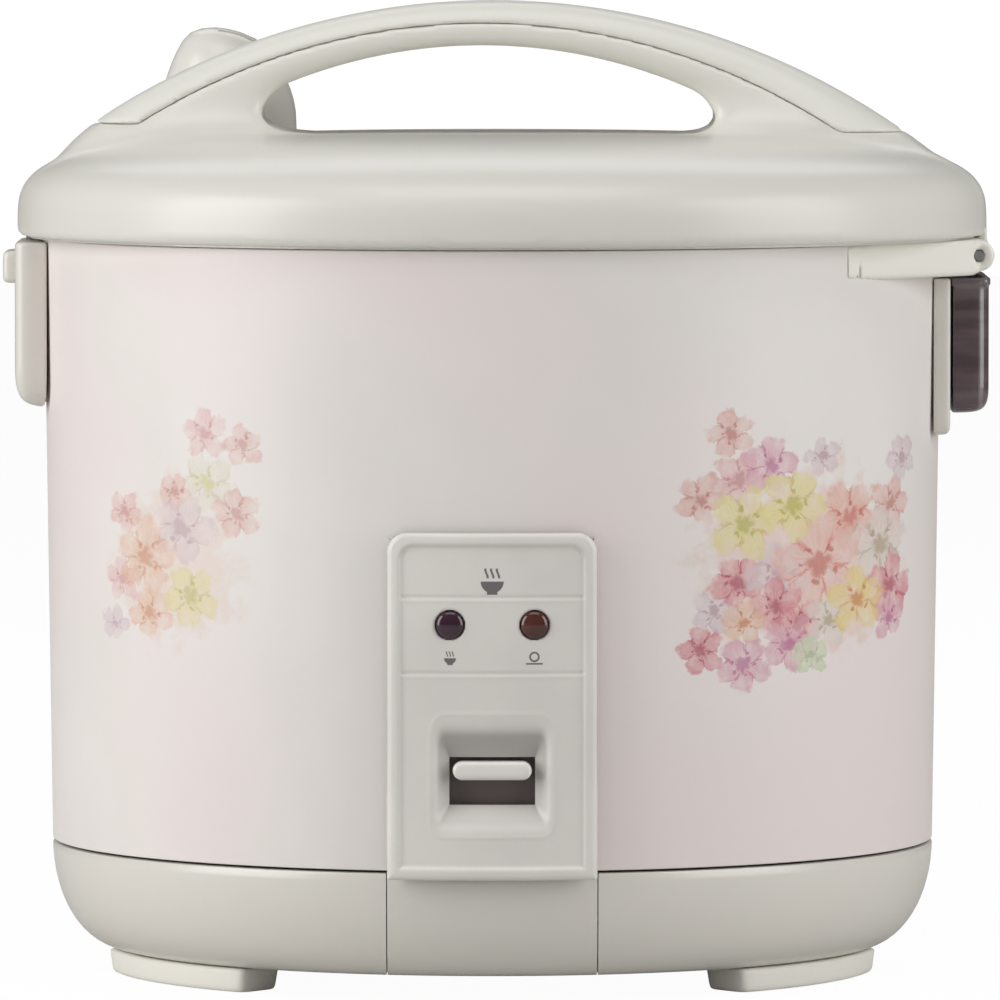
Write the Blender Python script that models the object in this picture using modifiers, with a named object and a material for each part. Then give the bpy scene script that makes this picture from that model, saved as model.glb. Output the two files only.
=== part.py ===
"""Rice cooker with an arched carrying handle on a side-hinged lid and one cook lever at the front.

Frame: +Z up, +X to the right and -Y towards the user, who stands at the control panel.
The origin is on the body's axis, in the plane that the feet stand on.
"""

from math import asin, atan2, cos, degrees, pi, radians, sin, sqrt

import bmesh
import bpy
from mathutils import Matrix, Vector

MM = 0.001
GAP = 0.3 * MM  # between two pieces that meet
WALL = 2.6 * MM  # moulded walls
SHEET = 0.8 * MM  # pressed sheet
WELD = 0.001 * MM
ROUND = 60  # facets round the large outer pieces
INSIDE = 40  # facets round the pieces inside
SMALL = 16  # facets round pins, holes and posts

# Body
BODY_TOP_R = 134.5 * MM
BODY_LOW_R = BODY_TOP_R - 2.5 * MM
BASE_LINE_Z = 39.0 * MM  # where the sheet body meets the base
BASE_FLAT_R = BODY_LOW_R - 20.0 * MM  # the base's underside is flat inside this radius
BASE_Z = 7.5 * MM
BASE_HOLE_R = BASE_FLAT_R - 28.0 * MM
SEAM_Z = 218.5 * MM  # where the lid meets the body
RIM_H = 4.6 * MM
RIM_IN_R = BODY_TOP_R - 13.5 * MM
FOOT_R = BASE_FLAT_R + 4.0 * MM
FOOT_W = 18.0 * MM
FOOT_FROM, FOOT_TO = 4.0, 51.0  # degrees from the X axis

# Lid
LID_R = BODY_TOP_R + 3.0 * MM  # half its depth
LID_LEFT = BODY_TOP_R + 7.9 * MM  # reach to the latch side
LID_RIGHT = BODY_TOP_R + 13.6 * MM  # reach to the hinge side
LID_H = 30.5 * MM
LID_Z = SEAM_Z + GAP

# Handle, as arcs in the XZ plane
ARCH_R = BODY_TOP_R + 79.5 * MM
HANDLE_TOP_Z = SEAM_Z + 71.5 * MM
HANDLE_Y = 21.0 * MM
GRIP_R = 155.0 * MM  # underside of the grip
GRIP_X = -3.0 * MM
GRIP_THICK = 13.4 * MM
GRIP_END_R = 8.5 * MM
GRIP_HALF = 24.0  # degrees from the grip's middle to the centre of each end's rounding
CAP_SEAM_R = 175.0 * MM
CAP_THICK = 7.0 * MM
CAP_END_Z = SEAM_Z + 33.5 * MM

# Hinge, on the right
HINGE_X = BODY_TOP_R + 10.0 * MM
HINGE_Z = SEAM_Z - 4.0 * MM
BARREL_R = 4.8 * MM
PIN_R = 1.5 * MM
KNUCKLE_Y = 13.2 * MM
LEDGE_Y = 34.0 * MM
LEDGE_H = 9.8 * MM

# Steam cap, behind the handle on the left
STEAM_X = -80.0 * MM
STEAM_Y = 45.0 * MM
STEAM_R = 20.8 * MM
STEAM_TOP = SEAM_Z + 62.3 * MM
STEAM_LEAN = 0.2  # how far the top rises towards the left, per unit
DUCT_R = 11.0 * MM

# Latch, on the left
LATCH_Y = 25.0 * MM
LATCH_LOW_Z = SEAM_Z - 49.9 * MM
BUTTON_Z = SEAM_Z - 8.1 * MM
BUTTON_H = 9.7 * MM
BUTTON_Y = 12.0 * MM
BUTTON_OUT = 4.0 * MM

# Dew collector, on the right under the hinge
DEW_X0 = BODY_TOP_R + 2.1 * MM
DEW_X1 = BODY_TOP_R + 13.7 * MM
DEW_Y = 30.0 * MM
DEW_LOW_Z = SEAM_Z - 51.5 * MM
DEW_TOP_Z = SEAM_Z - LEDGE_H - 0.9 * MM
DEW_WALL = 1.6 * MM

# Control panel
PANEL_X = 31.5 * MM
PANEL_LOW_Z = 37.0 * MM
PANEL_TOP_Z = 137.0 * MM
PANEL_R = BODY_TOP_R + 3.5 * MM  # its front follows a cylinder about the body's axis
PANEL_BACK_R = BODY_TOP_R - 4.0 * MM
PANEL_CORNER = 6.0 * MM
PANEL_RIM = 3.6 * MM
PANEL_SINK = 0.7 * MM
LAMP_X = 12.6 * MM
LAMP_Z = 110.3 * MM
LAMP_R = 4.1 * MM
SWITCH_X = 18.2 * MM
SWITCH_Z = 65.9 * MM
SWITCH_H = 35.1 * MM
WINDOW_X = 12.8 * MM
WINDOW_Z = 64.8 * MM
WINDOW_H = 14.4 * MM
LEVER_X = 11.4 * MM
LEVER_Z = 68.3 * MM
LEVER_H = 5.8 * MM

# Pot, heater and what is under them
POT_R = BODY_TOP_R - 29.5 * MM  # inside
POT_TOP_Z = SEAM_Z - 7.5 * MM
POT_FLOOR_Z = 74.2 * MM
POT_WALL = 1.6 * MM
POT_CORNER = 28.0 * MM
POT_FLANGE = 9.0 * MM
CASING_R = POT_R + 12.5 * MM
CASING_Z = 55.0 * MM
HEATER_R = POT_R - 13.0 * MM
HEATER_H = 10.0 * MM
SENSOR_R = 17.5 * MM
ROCKER_Y = -60.0 * MM
ROCKER_Z = 33.0 * MM
ROCKER_X = 6.0 * MM
TOE_Y = 18.5 * MM - PANEL_BACK_R  # where the lever presses the rocker
LEG_R = BASE_HOLE_R - 6.0 * MM
PLATE_Z = BASE_Z + WALL + GAP  # underside of the bottom plate

# Power inlet, at the rear
INLET_X = 19.0 * MM
INLET_Z = 62.0 * MM
INLET_H = 24.0 * MM

CREAM = (0.80, 0.78, 0.71)
PEARL = (0.79, 0.76, 0.74)
SMOKE = (0.10, 0.06, 0.06)
METAL = (0.66, 0.66, 0.67)


# ---------------------------------------------------------------- scene helpers

def clear_scene():
    for item in list(bpy.data.objects):
        bpy.data.objects.remove(item, do_unlink=True)


def new_collection(name):
    group = bpy.data.collections.new(name)
    bpy.context.scene.collection.children.link(group)
    return group


def material(name, colour, roughness=0.45, metallic=0.0):
    found = bpy.data.materials.get(name)
    if found:
        return found
    made = bpy.data.materials.new(name)
    made.use_nodes = True
    shader = made.node_tree.nodes["Principled BSDF"]
    shader.inputs["Base Color"].default_value = (*colour, 1.0)
    shader.inputs["Roughness"].default_value = roughness
    shader.inputs["Metallic"].default_value = metallic
    return made


def thing(name, data):
    """An object in the cutters' collection until part() takes it."""
    made = bpy.data.objects.new(name, data)
    CUTTERS.objects.link(made)
    made.display_type = "WIRE"
    made.hide_render = True
    return made


def part(item, name, colour, roughness=0.45, metallic=0.0):
    """Turns a shape into a sub-part: its name, its material and its collection."""
    item.name = name
    item.data.name = name
    CUTTERS.objects.unlink(item)
    PARTS.objects.link(item)
    item.display_type = "TEXTURED"
    item.hide_render = False
    item.data.materials.clear()
    item.data.materials.append(material(name, colour, roughness, metallic))
    item.data.shade_smooth()
    item.data.set_sharp_from_angle(angle=radians(35))
    return item


def baked(item):
    """Makes the object's modifiers part of its mesh."""
    graph = bpy.context.evaluated_depsgraph_get()
    graph.update()
    old = item.data
    item.data = bpy.data.meshes.new_from_object(item.evaluated_get(graph))
    item.modifiers.clear()
    bpy.data.meshes.remove(old)
    return item


def welded(item):
    """Closes a swept shape along its seams and turns its faces outwards."""
    build = bmesh.new()
    build.from_mesh(item.data)
    bmesh.ops.remove_doubles(build, verts=build.verts, dist=WELD)
    bmesh.ops.recalc_face_normals(build, faces=build.faces)
    build.to_mesh(item.data)
    build.free()
    return item


def triangles(item):
    """Splits the many-sided faces that a cut leaves, so that the next cut meets only flat ones."""
    build = bmesh.new()
    build.from_mesh(item.data)
    bmesh.ops.dissolve_degenerate(build, edges=build.edges, dist=WELD)
    bmesh.ops.triangulate(build, faces=build.faces)
    build.to_mesh(item.data)
    build.free()
    return item


def boolean(item, cutter, operation):
    step = item.modifiers.new(operation.title(), "BOOLEAN")
    step.operation = operation
    step.solver = "EXACT"
    step.object = cutter
    baked(item)
    bpy.data.objects.remove(cutter, do_unlink=True)
    return triangles(item)


def cut(item, *cutters):
    for cutter in cutters:
        boolean(item, cutter, "DIFFERENCE")
    return item


def join(item, *others):
    for other in others:
        boolean(item, other, "UNION")
    return item


def common(item, other):
    return boolean(item, other, "INTERSECT")


def bevelled(item, width, segments=3, angle=35.0):
    step = item.modifiers.new("Bevel", "BEVEL")
    step.width = width
    step.segments = segments
    step.limit_method = "ANGLE"
    step.angle_limit = radians(angle)
    return baked(item)


def placed_on_axis(item, pivot):
    """Puts a moving piece's origin on its joint's axis, leaving the shape where it is."""
    item.data.transform(Matrix.Translation(-Vector(pivot)))
    item.location = pivot
    return item


# ---------------------------------------------------------------- shapes

def block(x0, x1, y0, y1, z0, z1):
    mesh = bpy.data.meshes.new("block")
    build = bmesh.new()
    bmesh.ops.create_cube(build, size=1.0)
    bmesh.ops.scale(build, vec=(x1 - x0, y1 - y0, z1 - z0), verts=build.verts)
    middle = ((x0 + x1) / 2, (y0 + y1) / 2, (z0 + z1) / 2)
    bmesh.ops.translate(build, vec=middle, verts=build.verts)
    build.to_mesh(mesh)
    build.free()
    return thing("block", mesh)


def rod(centre, radius, length, axis="Z", facets=SMALL, radius2=None):
    """A cylinder, or a cone where radius2 is given, with its middle at centre."""
    turn = {"X": Matrix.Rotation(pi / 2, 4, "Y"), "Y": Matrix.Rotation(-pi / 2, 4, "X"), "Z": Matrix()}
    mesh = bpy.data.meshes.new("rod")
    build = bmesh.new()
    bmesh.ops.create_cone(build, cap_ends=True, segments=facets, radius1=radius,
                          radius2=radius if radius2 is None else radius2, depth=length,
                          matrix=Matrix.Translation(centre) @ turn[axis])
    build.to_mesh(mesh)
    build.free()
    return thing("rod", mesh)


def turned(profile, facets=INSIDE):
    """A closed outline of (radius, height) points, turned about Z."""
    mesh = bpy.data.meshes.new("turned")
    points = [(radius, 0.0, height) for radius, height in profile]
    edges = [(k, (k + 1) % len(points)) for k in range(len(points))]
    on_axis = [k for k, (radius, _, _) in enumerate(points) if radius < 1e-9]
    edges = [edge for edge in edges if not (edge[0] in on_axis and edge[1] in on_axis)]
    mesh.from_pydata(points, edges, [])
    item = thing("turned", mesh)
    step = item.modifiers.new("Screw", "SCREW")
    step.steps = facets
    step.render_steps = facets
    step.use_merge_vertices = True
    step.merge_threshold = 0.01 * MM
    return welded(baked(item))


def ring(inner, outer, z0, z1, facets=INSIDE):
    return turned([(outer, z1), (outer, z0), (inner, z0), (inner, z1)], facets)


def disc(radius, z0, z1, facets=INSIDE):
    return turned([(0.0, z1), (radius, z1), (radius, z0), (0.0, z0)], facets)


def as_mesh(guide):
    """Replaces a curve object with its mesh."""
    graph = bpy.context.evaluated_depsgraph_get()
    graph.update()
    mesh = bpy.data.meshes.new_from_object(guide.evaluated_get(graph))
    name = guide.name
    bpy.data.objects.remove(guide, do_unlink=True)
    return thing(name, mesh)


def slab(outline, low, high, plane="XZ"):
    """A flat outline given thickness from low to high, along the axis that its plane leaves out."""
    flat = bpy.data.curves.new("outline", "CURVE")
    flat.dimensions = "2D"
    flat.fill_mode = "BOTH"
    flat.extrude = (high - low) / 2
    spline = flat.splines.new("POLY")
    spline.points.add(len(outline) - 1)
    for point, (u, v) in zip(spline.points, outline):
        point.co = (u, v, 0.0, 1.0)
    spline.use_cyclic_u = True
    item = as_mesh(thing("slab", flat))
    for vert in item.data.vertices:
        u, v, w = vert.co
        w += (low + high) / 2
        vert.co = (u, w, v) if plane == "XZ" else (u, v, w)
    return welded(item)


def coil(centre, radius, wire, length, turns, axis="Z"):
    """A helical spring of round wire, its length along the axis and centred there."""
    path = bpy.data.curves.new("coil", "CURVE")
    path.dimensions = "3D"
    path.bevel_depth = wire
    path.bevel_resolution = 1
    path.use_fill_caps = True
    per_turn = 10
    count = turns * per_turn + 1
    spline = path.splines.new("POLY")
    spline.points.add(count - 1)
    for k, point in enumerate(spline.points):
        angle = 2 * pi * k / per_turn
        along = (k / (count - 1) - 0.5) * length
        u, v = radius * cos(angle), radius * sin(angle)
        offset = {"X": (along, u, v), "Y": (u, along, v), "Z": (u, v, along)}[axis]
        point.co = (*(Vector(centre) + Vector(offset)), 1.0)
    return welded(as_mesh(thing("coil", path)))


def arc(centre, radius, start, end, steps=8):
    """Points on a circle from start to end, in degrees anticlockwise from +u."""
    points = []
    for k in range(steps + 1):
        angle = radians(start + (end - start) * k / steps)
        points.append((centre[0] + radius * cos(angle), centre[1] + radius * sin(angle)))
    return points


def rounded(u0, u1, v0, v1, radius, steps=5, low_radius=None):
    """A rectangle with round corners; the lower two may have their own radius."""
    low = radius if low_radius is None else low_radius
    points = arc((u1 - radius, v1 - radius), radius, 0, 90, steps)
    points += arc((u0 + radius, v1 - radius), radius, 90, 180, steps)
    if low > 0:
        points += arc((u0 + low, v0 + low), low, 180, 270, steps)
        points += arc((u1 - low, v0 + low), low, 270, 360, steps)
    else:
        points += [(u0, v0), (u1, v0)]
    return points


# ---------------------------------------------------------------- body

def body_radius(z):
    """Outer radius of the tapered sheet body."""
    return BODY_LOW_R + (BODY_TOP_R - BODY_LOW_R) * (z - BASE_LINE_Z) / (SEAM_Z - BASE_LINE_Z)


def base_outline(thickness, rows=5):
    """Quarter of an ellipse from the base line down to the flat underside."""
    wide = BODY_LOW_R - BASE_FLAT_R - thickness
    high = BASE_LINE_Z - BASE_Z - thickness
    points = []
    for k in range(rows + 1):
        angle = pi / 2 * k / rows
        points.append((BASE_FLAT_R + wide * cos(angle), BASE_LINE_Z - GAP - high * sin(angle)))
    return points


def base_bowl():
    outer = base_outline(0.0) + [(BASE_HOLE_R, BASE_Z - GAP)]
    inner = base_outline(WALL) + [(BASE_HOLE_R, BASE_Z - GAP + WALL)]
    return turned(outer + inner[::-1], ROUND)


def base_screw_places():
    radius = BASE_HOLE_R + 5.5 * MM
    return [(radius * cos(radians(a)), radius * sin(radians(a))) for a in (90, 210, 330)]


def build_base():
    front = -100 * MM
    reach = PANEL_R + 10 * MM
    strip = common(base_bowl(), block(-PANEL_X, PANEL_X, -reach, front, 0, BASE_LINE_Z))
    part(strip, "base_front_strip", CREAM, 0.4)
    wide = PANEL_X + GAP
    base = cut(base_bowl(), block(-wide, wide, -reach, front + GAP, 0, BASE_LINE_Z + 1 * MM))
    for x, y in base_screw_places():
        cut(base, rod((x, y, BASE_Z), 2.0 * MM, 12 * MM))
    part(base, "base_shell", CREAM, 0.4)


def build_bottom_plate():
    plate = disc(BASE_HOLE_R + 11 * MM, PLATE_Z, PLATE_Z + 1.5 * MM)
    for x, y in base_screw_places():
        cut(plate, rod((x, y, PLATE_Z), 2.0 * MM, 8 * MM))
    for k in range(6):
        slot = rounded(34 * MM, 56 * MM, -3 * MM, 3 * MM, 2.9 * MM, 3)
        vent = slab(slot, PLATE_Z - 5 * MM, PLATE_Z + 5 * MM, "XY")
        vent.data.transform(Matrix.Rotation(radians(30 + 60 * k), 4, "Z"))
        cut(plate, vent)
    part(plate, "bottom_plate", METAL, 0.4, 1.0)


def build_base_screws():
    for k, (x, y) in enumerate(base_screw_places(), 1):
        head = rod((x, y, BASE_Z - 1.5 * MM), 3.4 * MM, 1.8 * MM)
        shank = rod((x, y, BASE_Z + 3.0 * MM), 1.6 * MM, 9.0 * MM)
        part(join(shank, head), f"base_screw_{k}", METAL, 0.35, 1.0)


def build_feet():
    places = {"rear_right": 0, "front_right": -1, "rear_left": 1, "front_left": 2}
    for name, quarter in places.items():
        turn = {0: (FOOT_FROM, FOOT_TO), -1: (-FOOT_TO, -FOOT_FROM),
                1: (180 - FOOT_TO, 180 - FOOT_FROM), 2: (180 + FOOT_FROM, 180 + FOOT_TO)}[quarter]
        inner = FOOT_R - FOOT_W
        outline = arc((0, 0), FOOT_R, *turn, 10) + arc((0, 0), inner, *turn[::-1], 10)
        foot = slab(outline, 0.0, BASE_Z - 2 * GAP, "XY")
        part(bevelled(foot, 0.8 * MM, 1), f"foot_{name}", CREAM, 0.5)


def build_outer_body():
    low = BASE_LINE_Z + GAP
    high = SEAM_Z - RIM_H - 2 * GAP
    profile = [(body_radius(high), high), (body_radius(low), low)]
    profile += [(body_radius(low) - SHEET, low), (body_radius(high) - SHEET, high)]
    shell = turned(profile, ROUND)
    wide = PANEL_X + GAP
    outline = rounded(-wide, wide, 0, PANEL_TOP_Z + GAP, PANEL_CORNER, 5, 0)
    cut(shell, slab(outline, -BODY_TOP_R - 5 * MM, -100 * MM))
    wide, tall = INLET_X + GAP, INLET_H / 2 + GAP
    cut(shell, block(-wide, wide, 100 * MM, 145 * MM, INLET_Z - tall, INLET_Z + tall))
    part(shell, "outer_body", PEARL, 0.3)


def hinge_rod(radius, y0, y1):
    return rod((HINGE_X, (y0 + y1) / 2, HINGE_Z), radius, y1 - y0, "Y", 24)


def build_upper_rim():
    """Ring on top of the body, with the ledge that carries the hinge."""
    low = SEAM_Z - RIM_H - GAP
    high = SEAM_Z - GAP
    touch = atan2(LEDGE_Y + 5 * MM, HINGE_X) + asin(BODY_TOP_R / sqrt(HINGE_X**2 + (LEDGE_Y + 5 * MM)**2))
    away = pi / 2 - touch
    start = degrees(away) + 43.0
    edge = (BODY_TOP_R * cos(radians(start)), BODY_TOP_R * sin(radians(start)))
    nose = [(HINGE_X - 1.5 * MM, LEDGE_Y + 5 * MM), (HINGE_X, LEDGE_Y + 1.5 * MM)]
    outline = [(85 * MM, 60 * MM), edge, *nose]
    outline += [(u, -v) for u, v in outline[::-1]]
    ledge = slab(outline[::-1], SEAM_Z - LEDGE_H - GAP, high, "XY")
    cut(ledge, disc(BODY_TOP_R + GAP, 190 * MM, low, ROUND))
    cut(ledge, disc(RIM_IN_R + 5 * MM, 190 * MM, SEAM_Z + 5 * MM, ROUND))
    rim = ring(RIM_IN_R, BODY_TOP_R + 0.4 * MM, low, high, ROUND)
    join(rim, ledge)
    inner = KNUCKLE_Y + 0.8 * MM
    for side in (-1, 1):
        join(rim, hinge_rod(BARREL_R, *sorted((side * inner, side * LEDGE_Y))))
    cut(rim, hinge_rod(BARREL_R + 2.2 * MM, -inner + 0.1 * MM, inner - 0.1 * MM))
    cut(rim, hinge_rod(BARREL_R, LEDGE_Y + 0.1 * MM, LEDGE_Y + 12 * MM))
    cut(rim, hinge_rod(PIN_R + GAP, -60 * MM, 60 * MM))
    cut(rim, block(-145 * MM, -RIM_IN_R - 11 * MM, -9 * MM, 9 * MM, low - 5 * MM, high + 5 * MM))
    part(rim, "upper_rim", CREAM, 0.4)


def build_hinge_pin():
    part(hinge_rod(PIN_R, -36 * MM, 42 * MM), "hinge_pin", METAL, 0.3, 1.0)


def build_lid_spring():
    spring = coil((HINGE_X, LEDGE_Y + 4 * MM, HINGE_Z), 2.7 * MM, 0.5 * MM, 6.0 * MM, 4, "Y")
    part(spring, "lid_spring", METAL, 0.3, 1.0)


# ---------------------------------------------------------------- latch on the left

def build_latch_cover():
    out, back, low, high = LID_LEFT, BODY_TOP_R - 5 * MM, LATCH_LOW_Z, SEAM_Z - GAP
    corner = 4.5 * MM
    outline = [(-back, high), (-out, high)] + arc((-out + corner, low + corner), corner, 180, 270, 5)
    outline += [(-back, low)]
    cover = slab(outline, -LATCH_Y, LATCH_Y)
    wall = 1.8 * MM
    inside = block(-out + wall, -100 * MM, -LATCH_Y + wall, LATCH_Y - wall, low + 3 * MM, high - wall)
    cut(cover, inside)
    cut(cover, disc(BODY_TOP_R + 2 * GAP, 150 * MM, SEAM_Z + 5 * MM, ROUND))
    tall, wide = BUTTON_H / 2 + GAP, BUTTON_Y + GAP
    cut(cover, block(-out - 5 * MM, -out + 3 * MM, -wide, wide, BUTTON_Z - tall, BUTTON_Z + tall))
    cut(cover, block(-out + wall + 0.5 * MM, -100 * MM, -8 * MM, 8 * MM, high - 5 * MM, high + 5 * MM))
    part(cover, "latch_cover", CREAM, 0.4)


def build_hook_button():
    out = LID_LEFT + BUTTON_OUT
    plate_x = -LID_LEFT + 2.5 * MM
    tall = BUTTON_H / 2
    tab = block(-out, plate_x + 0.5 * MM, -BUTTON_Y, BUTTON_Y, BUTTON_Z - tall, BUTTON_Z + tall)
    bevelled(tab, 0.8 * MM, 2)
    plate = block(plate_x, plate_x + 1.5 * MM, -14 * MM, 14 * MM, BUTTON_Z - 8 * MM, BUTTON_Z + 5.2 * MM)
    button = part(join(tab, plate), "hook_button", CREAM, 0.4)
    placed_on_axis(button, (-out, 0.0, BUTTON_Z))


def hook_x():
    return -LID_LEFT + 2.9 * MM


def build_latch_hook():
    """Metal hook behind the button's plate: it rises through the seam beside the lid's catch."""
    thick = 1.3 * MM
    x0, x1 = hook_x(), hook_x() + thick
    x2, x3 = x1 + 0.1 * MM, x1 + 1.1 * MM
    low, step, high = BUTTON_Z - 7 * MM, BUTTON_Z + 5.5 * MM, SEAM_Z + 6 * MM
    outline = [(x2, low), (x3, low), (x3, step + thick), (x1, step + thick), (x1, high), (x0, high)]
    outline += [(x0, step), (x2, step)]
    hook = slab(outline, -6 * MM, 6 * MM)
    hook = part(hook, "latch_hook", METAL, 0.3, 1.0)
    placed_on_axis(hook, (-LID_LEFT - BUTTON_OUT, 0.0, BUTTON_Z))


def build_latch_spring():
    start = -LID_LEFT + 5.0 * MM + 2 * GAP
    end = -BODY_TOP_R
    middle = (start + end) / 2
    spring = coil((middle, 0.0, BUTTON_Z - 3 * MM), 2.2 * MM, 0.25 * MM, end - start - 0.8 * MM, 2, "X")
    part(spring, "latch_spring", METAL, 0.3, 1.0)


# ---------------------------------------------------------------- dew collector on the right

def build_dew_bracket():
    low = DEW_LOW_Z - 6 * MM
    high = DEW_TOP_Z - 0.2 * MM
    back = block(125 * MM, DEW_X0 - GAP, -DEW_Y - 2.2 * MM, DEW_Y + 2.2 * MM, low, high)
    for side in (-1, 1):
        near, far = sorted((side * (DEW_Y + 0.4 * MM), side * (DEW_Y + 2.2 * MM)))
        join(back, block(DEW_X0 - 3 * MM, DEW_X0 + 3.2 * MM, near, far, DEW_LOW_Z, high))
    cut(back, disc(BODY_TOP_R + GAP, 150 * MM, SEAM_Z, ROUND))
    part(back, "dew_collector_bracket", CREAM, 0.4)


def build_dew_collector():
    corner = 4.0 * MM
    outline = [(DEW_X0, -DEW_Y)] + arc((DEW_X1 - corner, -DEW_Y + corner), corner, 270, 360, 4)
    outline += arc((DEW_X1 - corner, DEW_Y - corner), corner, 0, 90, 4) + [(DEW_X0, DEW_Y)]
    cup = slab(outline, DEW_LOW_Z, DEW_TOP_Z, "XY")
    wall = DEW_WALL
    inside = [(DEW_X0 + wall, -DEW_Y + wall)]
    inside += arc((DEW_X1 - corner, -DEW_Y + corner), corner - wall, 270, 360, 3)
    inside += arc((DEW_X1 - corner, DEW_Y - corner), corner - wall, 0, 90, 3)
    inside += [(DEW_X0 + wall, DEW_Y - wall)]
    cut(cup, slab(inside, DEW_LOW_Z + wall, DEW_TOP_Z + 5 * MM, "XY"))
    cup = part(cup, "dew_collector", SMOKE, 0.2)
    placed_on_axis(cup, (DEW_X0, 0.0, DEW_TOP_Z))


# ---------------------------------------------------------------- control panel

def panel_outline(inset):
    high = PANEL_TOP_Z - inset
    low = PANEL_LOW_Z + inset
    return rounded(-PANEL_X + inset, PANEL_X - inset, low, high, PANEL_CORNER - inset / 2, 6, 0)


def tapered_pocket():
    """Square funnel from the switch's recess to its window."""
    mesh = bpy.data.meshes.new("pocket")
    build = bmesh.new()
    bmesh.ops.create_cube(build, size=2.0)
    front, back = -PANEL_R - 0.6 * MM, -PANEL_R + 5.0 * MM
    for vert in build.verts:
        if vert.co.y < 0:
            size = (SWITCH_X, front, SWITCH_Z, SWITCH_H / 2)
        else:
            size = (WINDOW_X, back, WINDOW_Z, WINDOW_H / 2)
        vert.co = (vert.co.x * size[0], size[1], size[2] + vert.co.z * size[3])
    build.to_mesh(mesh)
    build.free()
    return thing("pocket", mesh)


def build_control_panel():
    panel = slab(panel_outline(0.0), -PANEL_R - 8 * MM, -100 * MM)
    common(panel, ring(PANEL_BACK_R, PANEL_R, 0.0, SEAM_Z, 2 * ROUND))
    sunk = slab(panel_outline(PANEL_RIM), -PANEL_R - 8 * MM, -100 * MM)
    cut(sunk, disc(PANEL_R - PANEL_SINK, 0.0, SEAM_Z, 2 * ROUND))
    cut(panel, sunk)
    cut(panel, disc(BODY_LOW_R + GAP, 0.0, BASE_LINE_Z + GAP, 2 * ROUND))
    cut(panel, tapered_pocket())
    low, high = WINDOW_Z - WINDOW_H / 2, WINDOW_Z + WINDOW_H / 2
    cut(panel, block(-WINDOW_X, WINDOW_X, -PANEL_R, -100 * MM, low, high))
    for side in (-1, 1):
        cut(panel, rod((side * LAMP_X, -PANEL_R, LAMP_Z), LAMP_R + GAP, 60 * MM, "Y"))
    part(panel, "control_panel", CREAM, 0.4)


def build_lamps():
    for name, side, colour in (("cook", -1, (0.12, 0.03, 0.05)), ("warm", 1, (0.20, 0.04, 0.03))):
        x = side * LAMP_X
        lens = rod((x, -PANEL_R + 2.6 * MM, LAMP_Z), LAMP_R, 5.0 * MM, "Y")
        part(bevelled(lens, 0.6 * MM, 2), f"lamp_lens_{name}", colour, 0.15)
        bulb = rod((x, -PANEL_R + 8.3 * MM, LAMP_Z), 2.2 * MM, 5.6 * MM, "Y", 12)
        part(bevelled(bulb, 0.8 * MM, 1), f"lamp_{name}", (0.7, 0.3, 0.15), 0.2)
    board = block(-24 * MM, 24 * MM, -PANEL_BACK_R + 3.7 * MM, -PANEL_BACK_R + 5.3 * MM,
                  LAMP_Z - 14 * MM, LAMP_Z + 14 * MM)
    part(board, "lamp_board", (0.35, 0.22, 0.10), 0.6)


# ---------------------------------------------------------------- cook lever and what it works

def build_cook_lever():
    """Bar in the window, with a stem that goes down between body and casing to the rocker's toe."""
    half = LEVER_H / 2
    toe_z = ROCKER_Z + 1.5 * MM + 0.5 * MM
    grip = block(-LEVER_X, LEVER_X, -PANEL_R + 1.0 * MM, -PANEL_R + 7.5 * MM, LEVER_Z - half, LEVER_Z + half)
    bevelled(grip, 2.0 * MM, 3)
    neck = block(-6 * MM, 6 * MM, -PANEL_R + 5.5 * MM, -124.5 * MM, LEVER_Z - 2.2 * MM, LEVER_Z + 2.2 * MM)
    stem = block(-5 * MM, 5 * MM, -127.3 * MM, -124.5 * MM, toe_z, LEVER_Z + 2.0 * MM)
    foot = block(-5 * MM, 5 * MM, -127.3 * MM, TOE_Y + 3 * MM, toe_z, toe_z + 2 * MM)
    lever = part(join(neck, grip, stem, foot), "cook_lever", CREAM, 0.4)
    placed_on_axis(lever, (0.0, -PANEL_R, LEVER_Z))


def build_lever_shutter():
    """Dark plate behind the window, carried by the lever."""
    back = -PANEL_BACK_R + 1.7 * MM
    plate = block(-16 * MM, 16 * MM, back, back + 0.9 * MM, 55 * MM, 81 * MM)
    cut(plate, block(-6.3 * MM, 6.3 * MM, back - 5 * MM, back + 5 * MM, LEVER_Z - 2.5 * MM,
                     LEVER_Z + 2.5 * MM))
    plate = part(plate, "lever_shutter", (0.10, 0.085, 0.08), 0.5)
    placed_on_axis(plate, (0.0, -PANEL_R, LEVER_Z))


def build_rocker():
    thick = 1.5 * MM
    arm = block(-ROCKER_X, ROCKER_X, TOE_Y - 4 * MM, 9 * MM, ROCKER_Z - thick, ROCKER_Z + thick)
    boss = rod((0, ROCKER_Y, ROCKER_Z), 4.0 * MM, 2 * ROCKER_X, "X")
    join(arm, boss)
    cut(arm, rod((0, ROCKER_Y, ROCKER_Z), PIN_R + GAP, 40 * MM, "X"))
    rocker = part(arm, "rocker_arm", METAL, 0.4, 1.0)
    placed_on_axis(rocker, (0.0, ROCKER_Y, ROCKER_Z))
    magnet = rod((0, 0, ROCKER_Z + thick + GAP + 2.5 * MM), 9 * MM, 5 * MM)
    magnet = part(bevelled(magnet, 0.5 * MM, 1), "trip_magnet", (0.16, 0.16, 0.17), 0.5, 0.6)
    placed_on_axis(magnet, (0.0, ROCKER_Y, ROCKER_Z))
    part(rod((0, ROCKER_Y, ROCKER_Z), PIN_R, 22 * MM, "X"), "rocker_pin", METAL, 0.3, 1.0)


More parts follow.
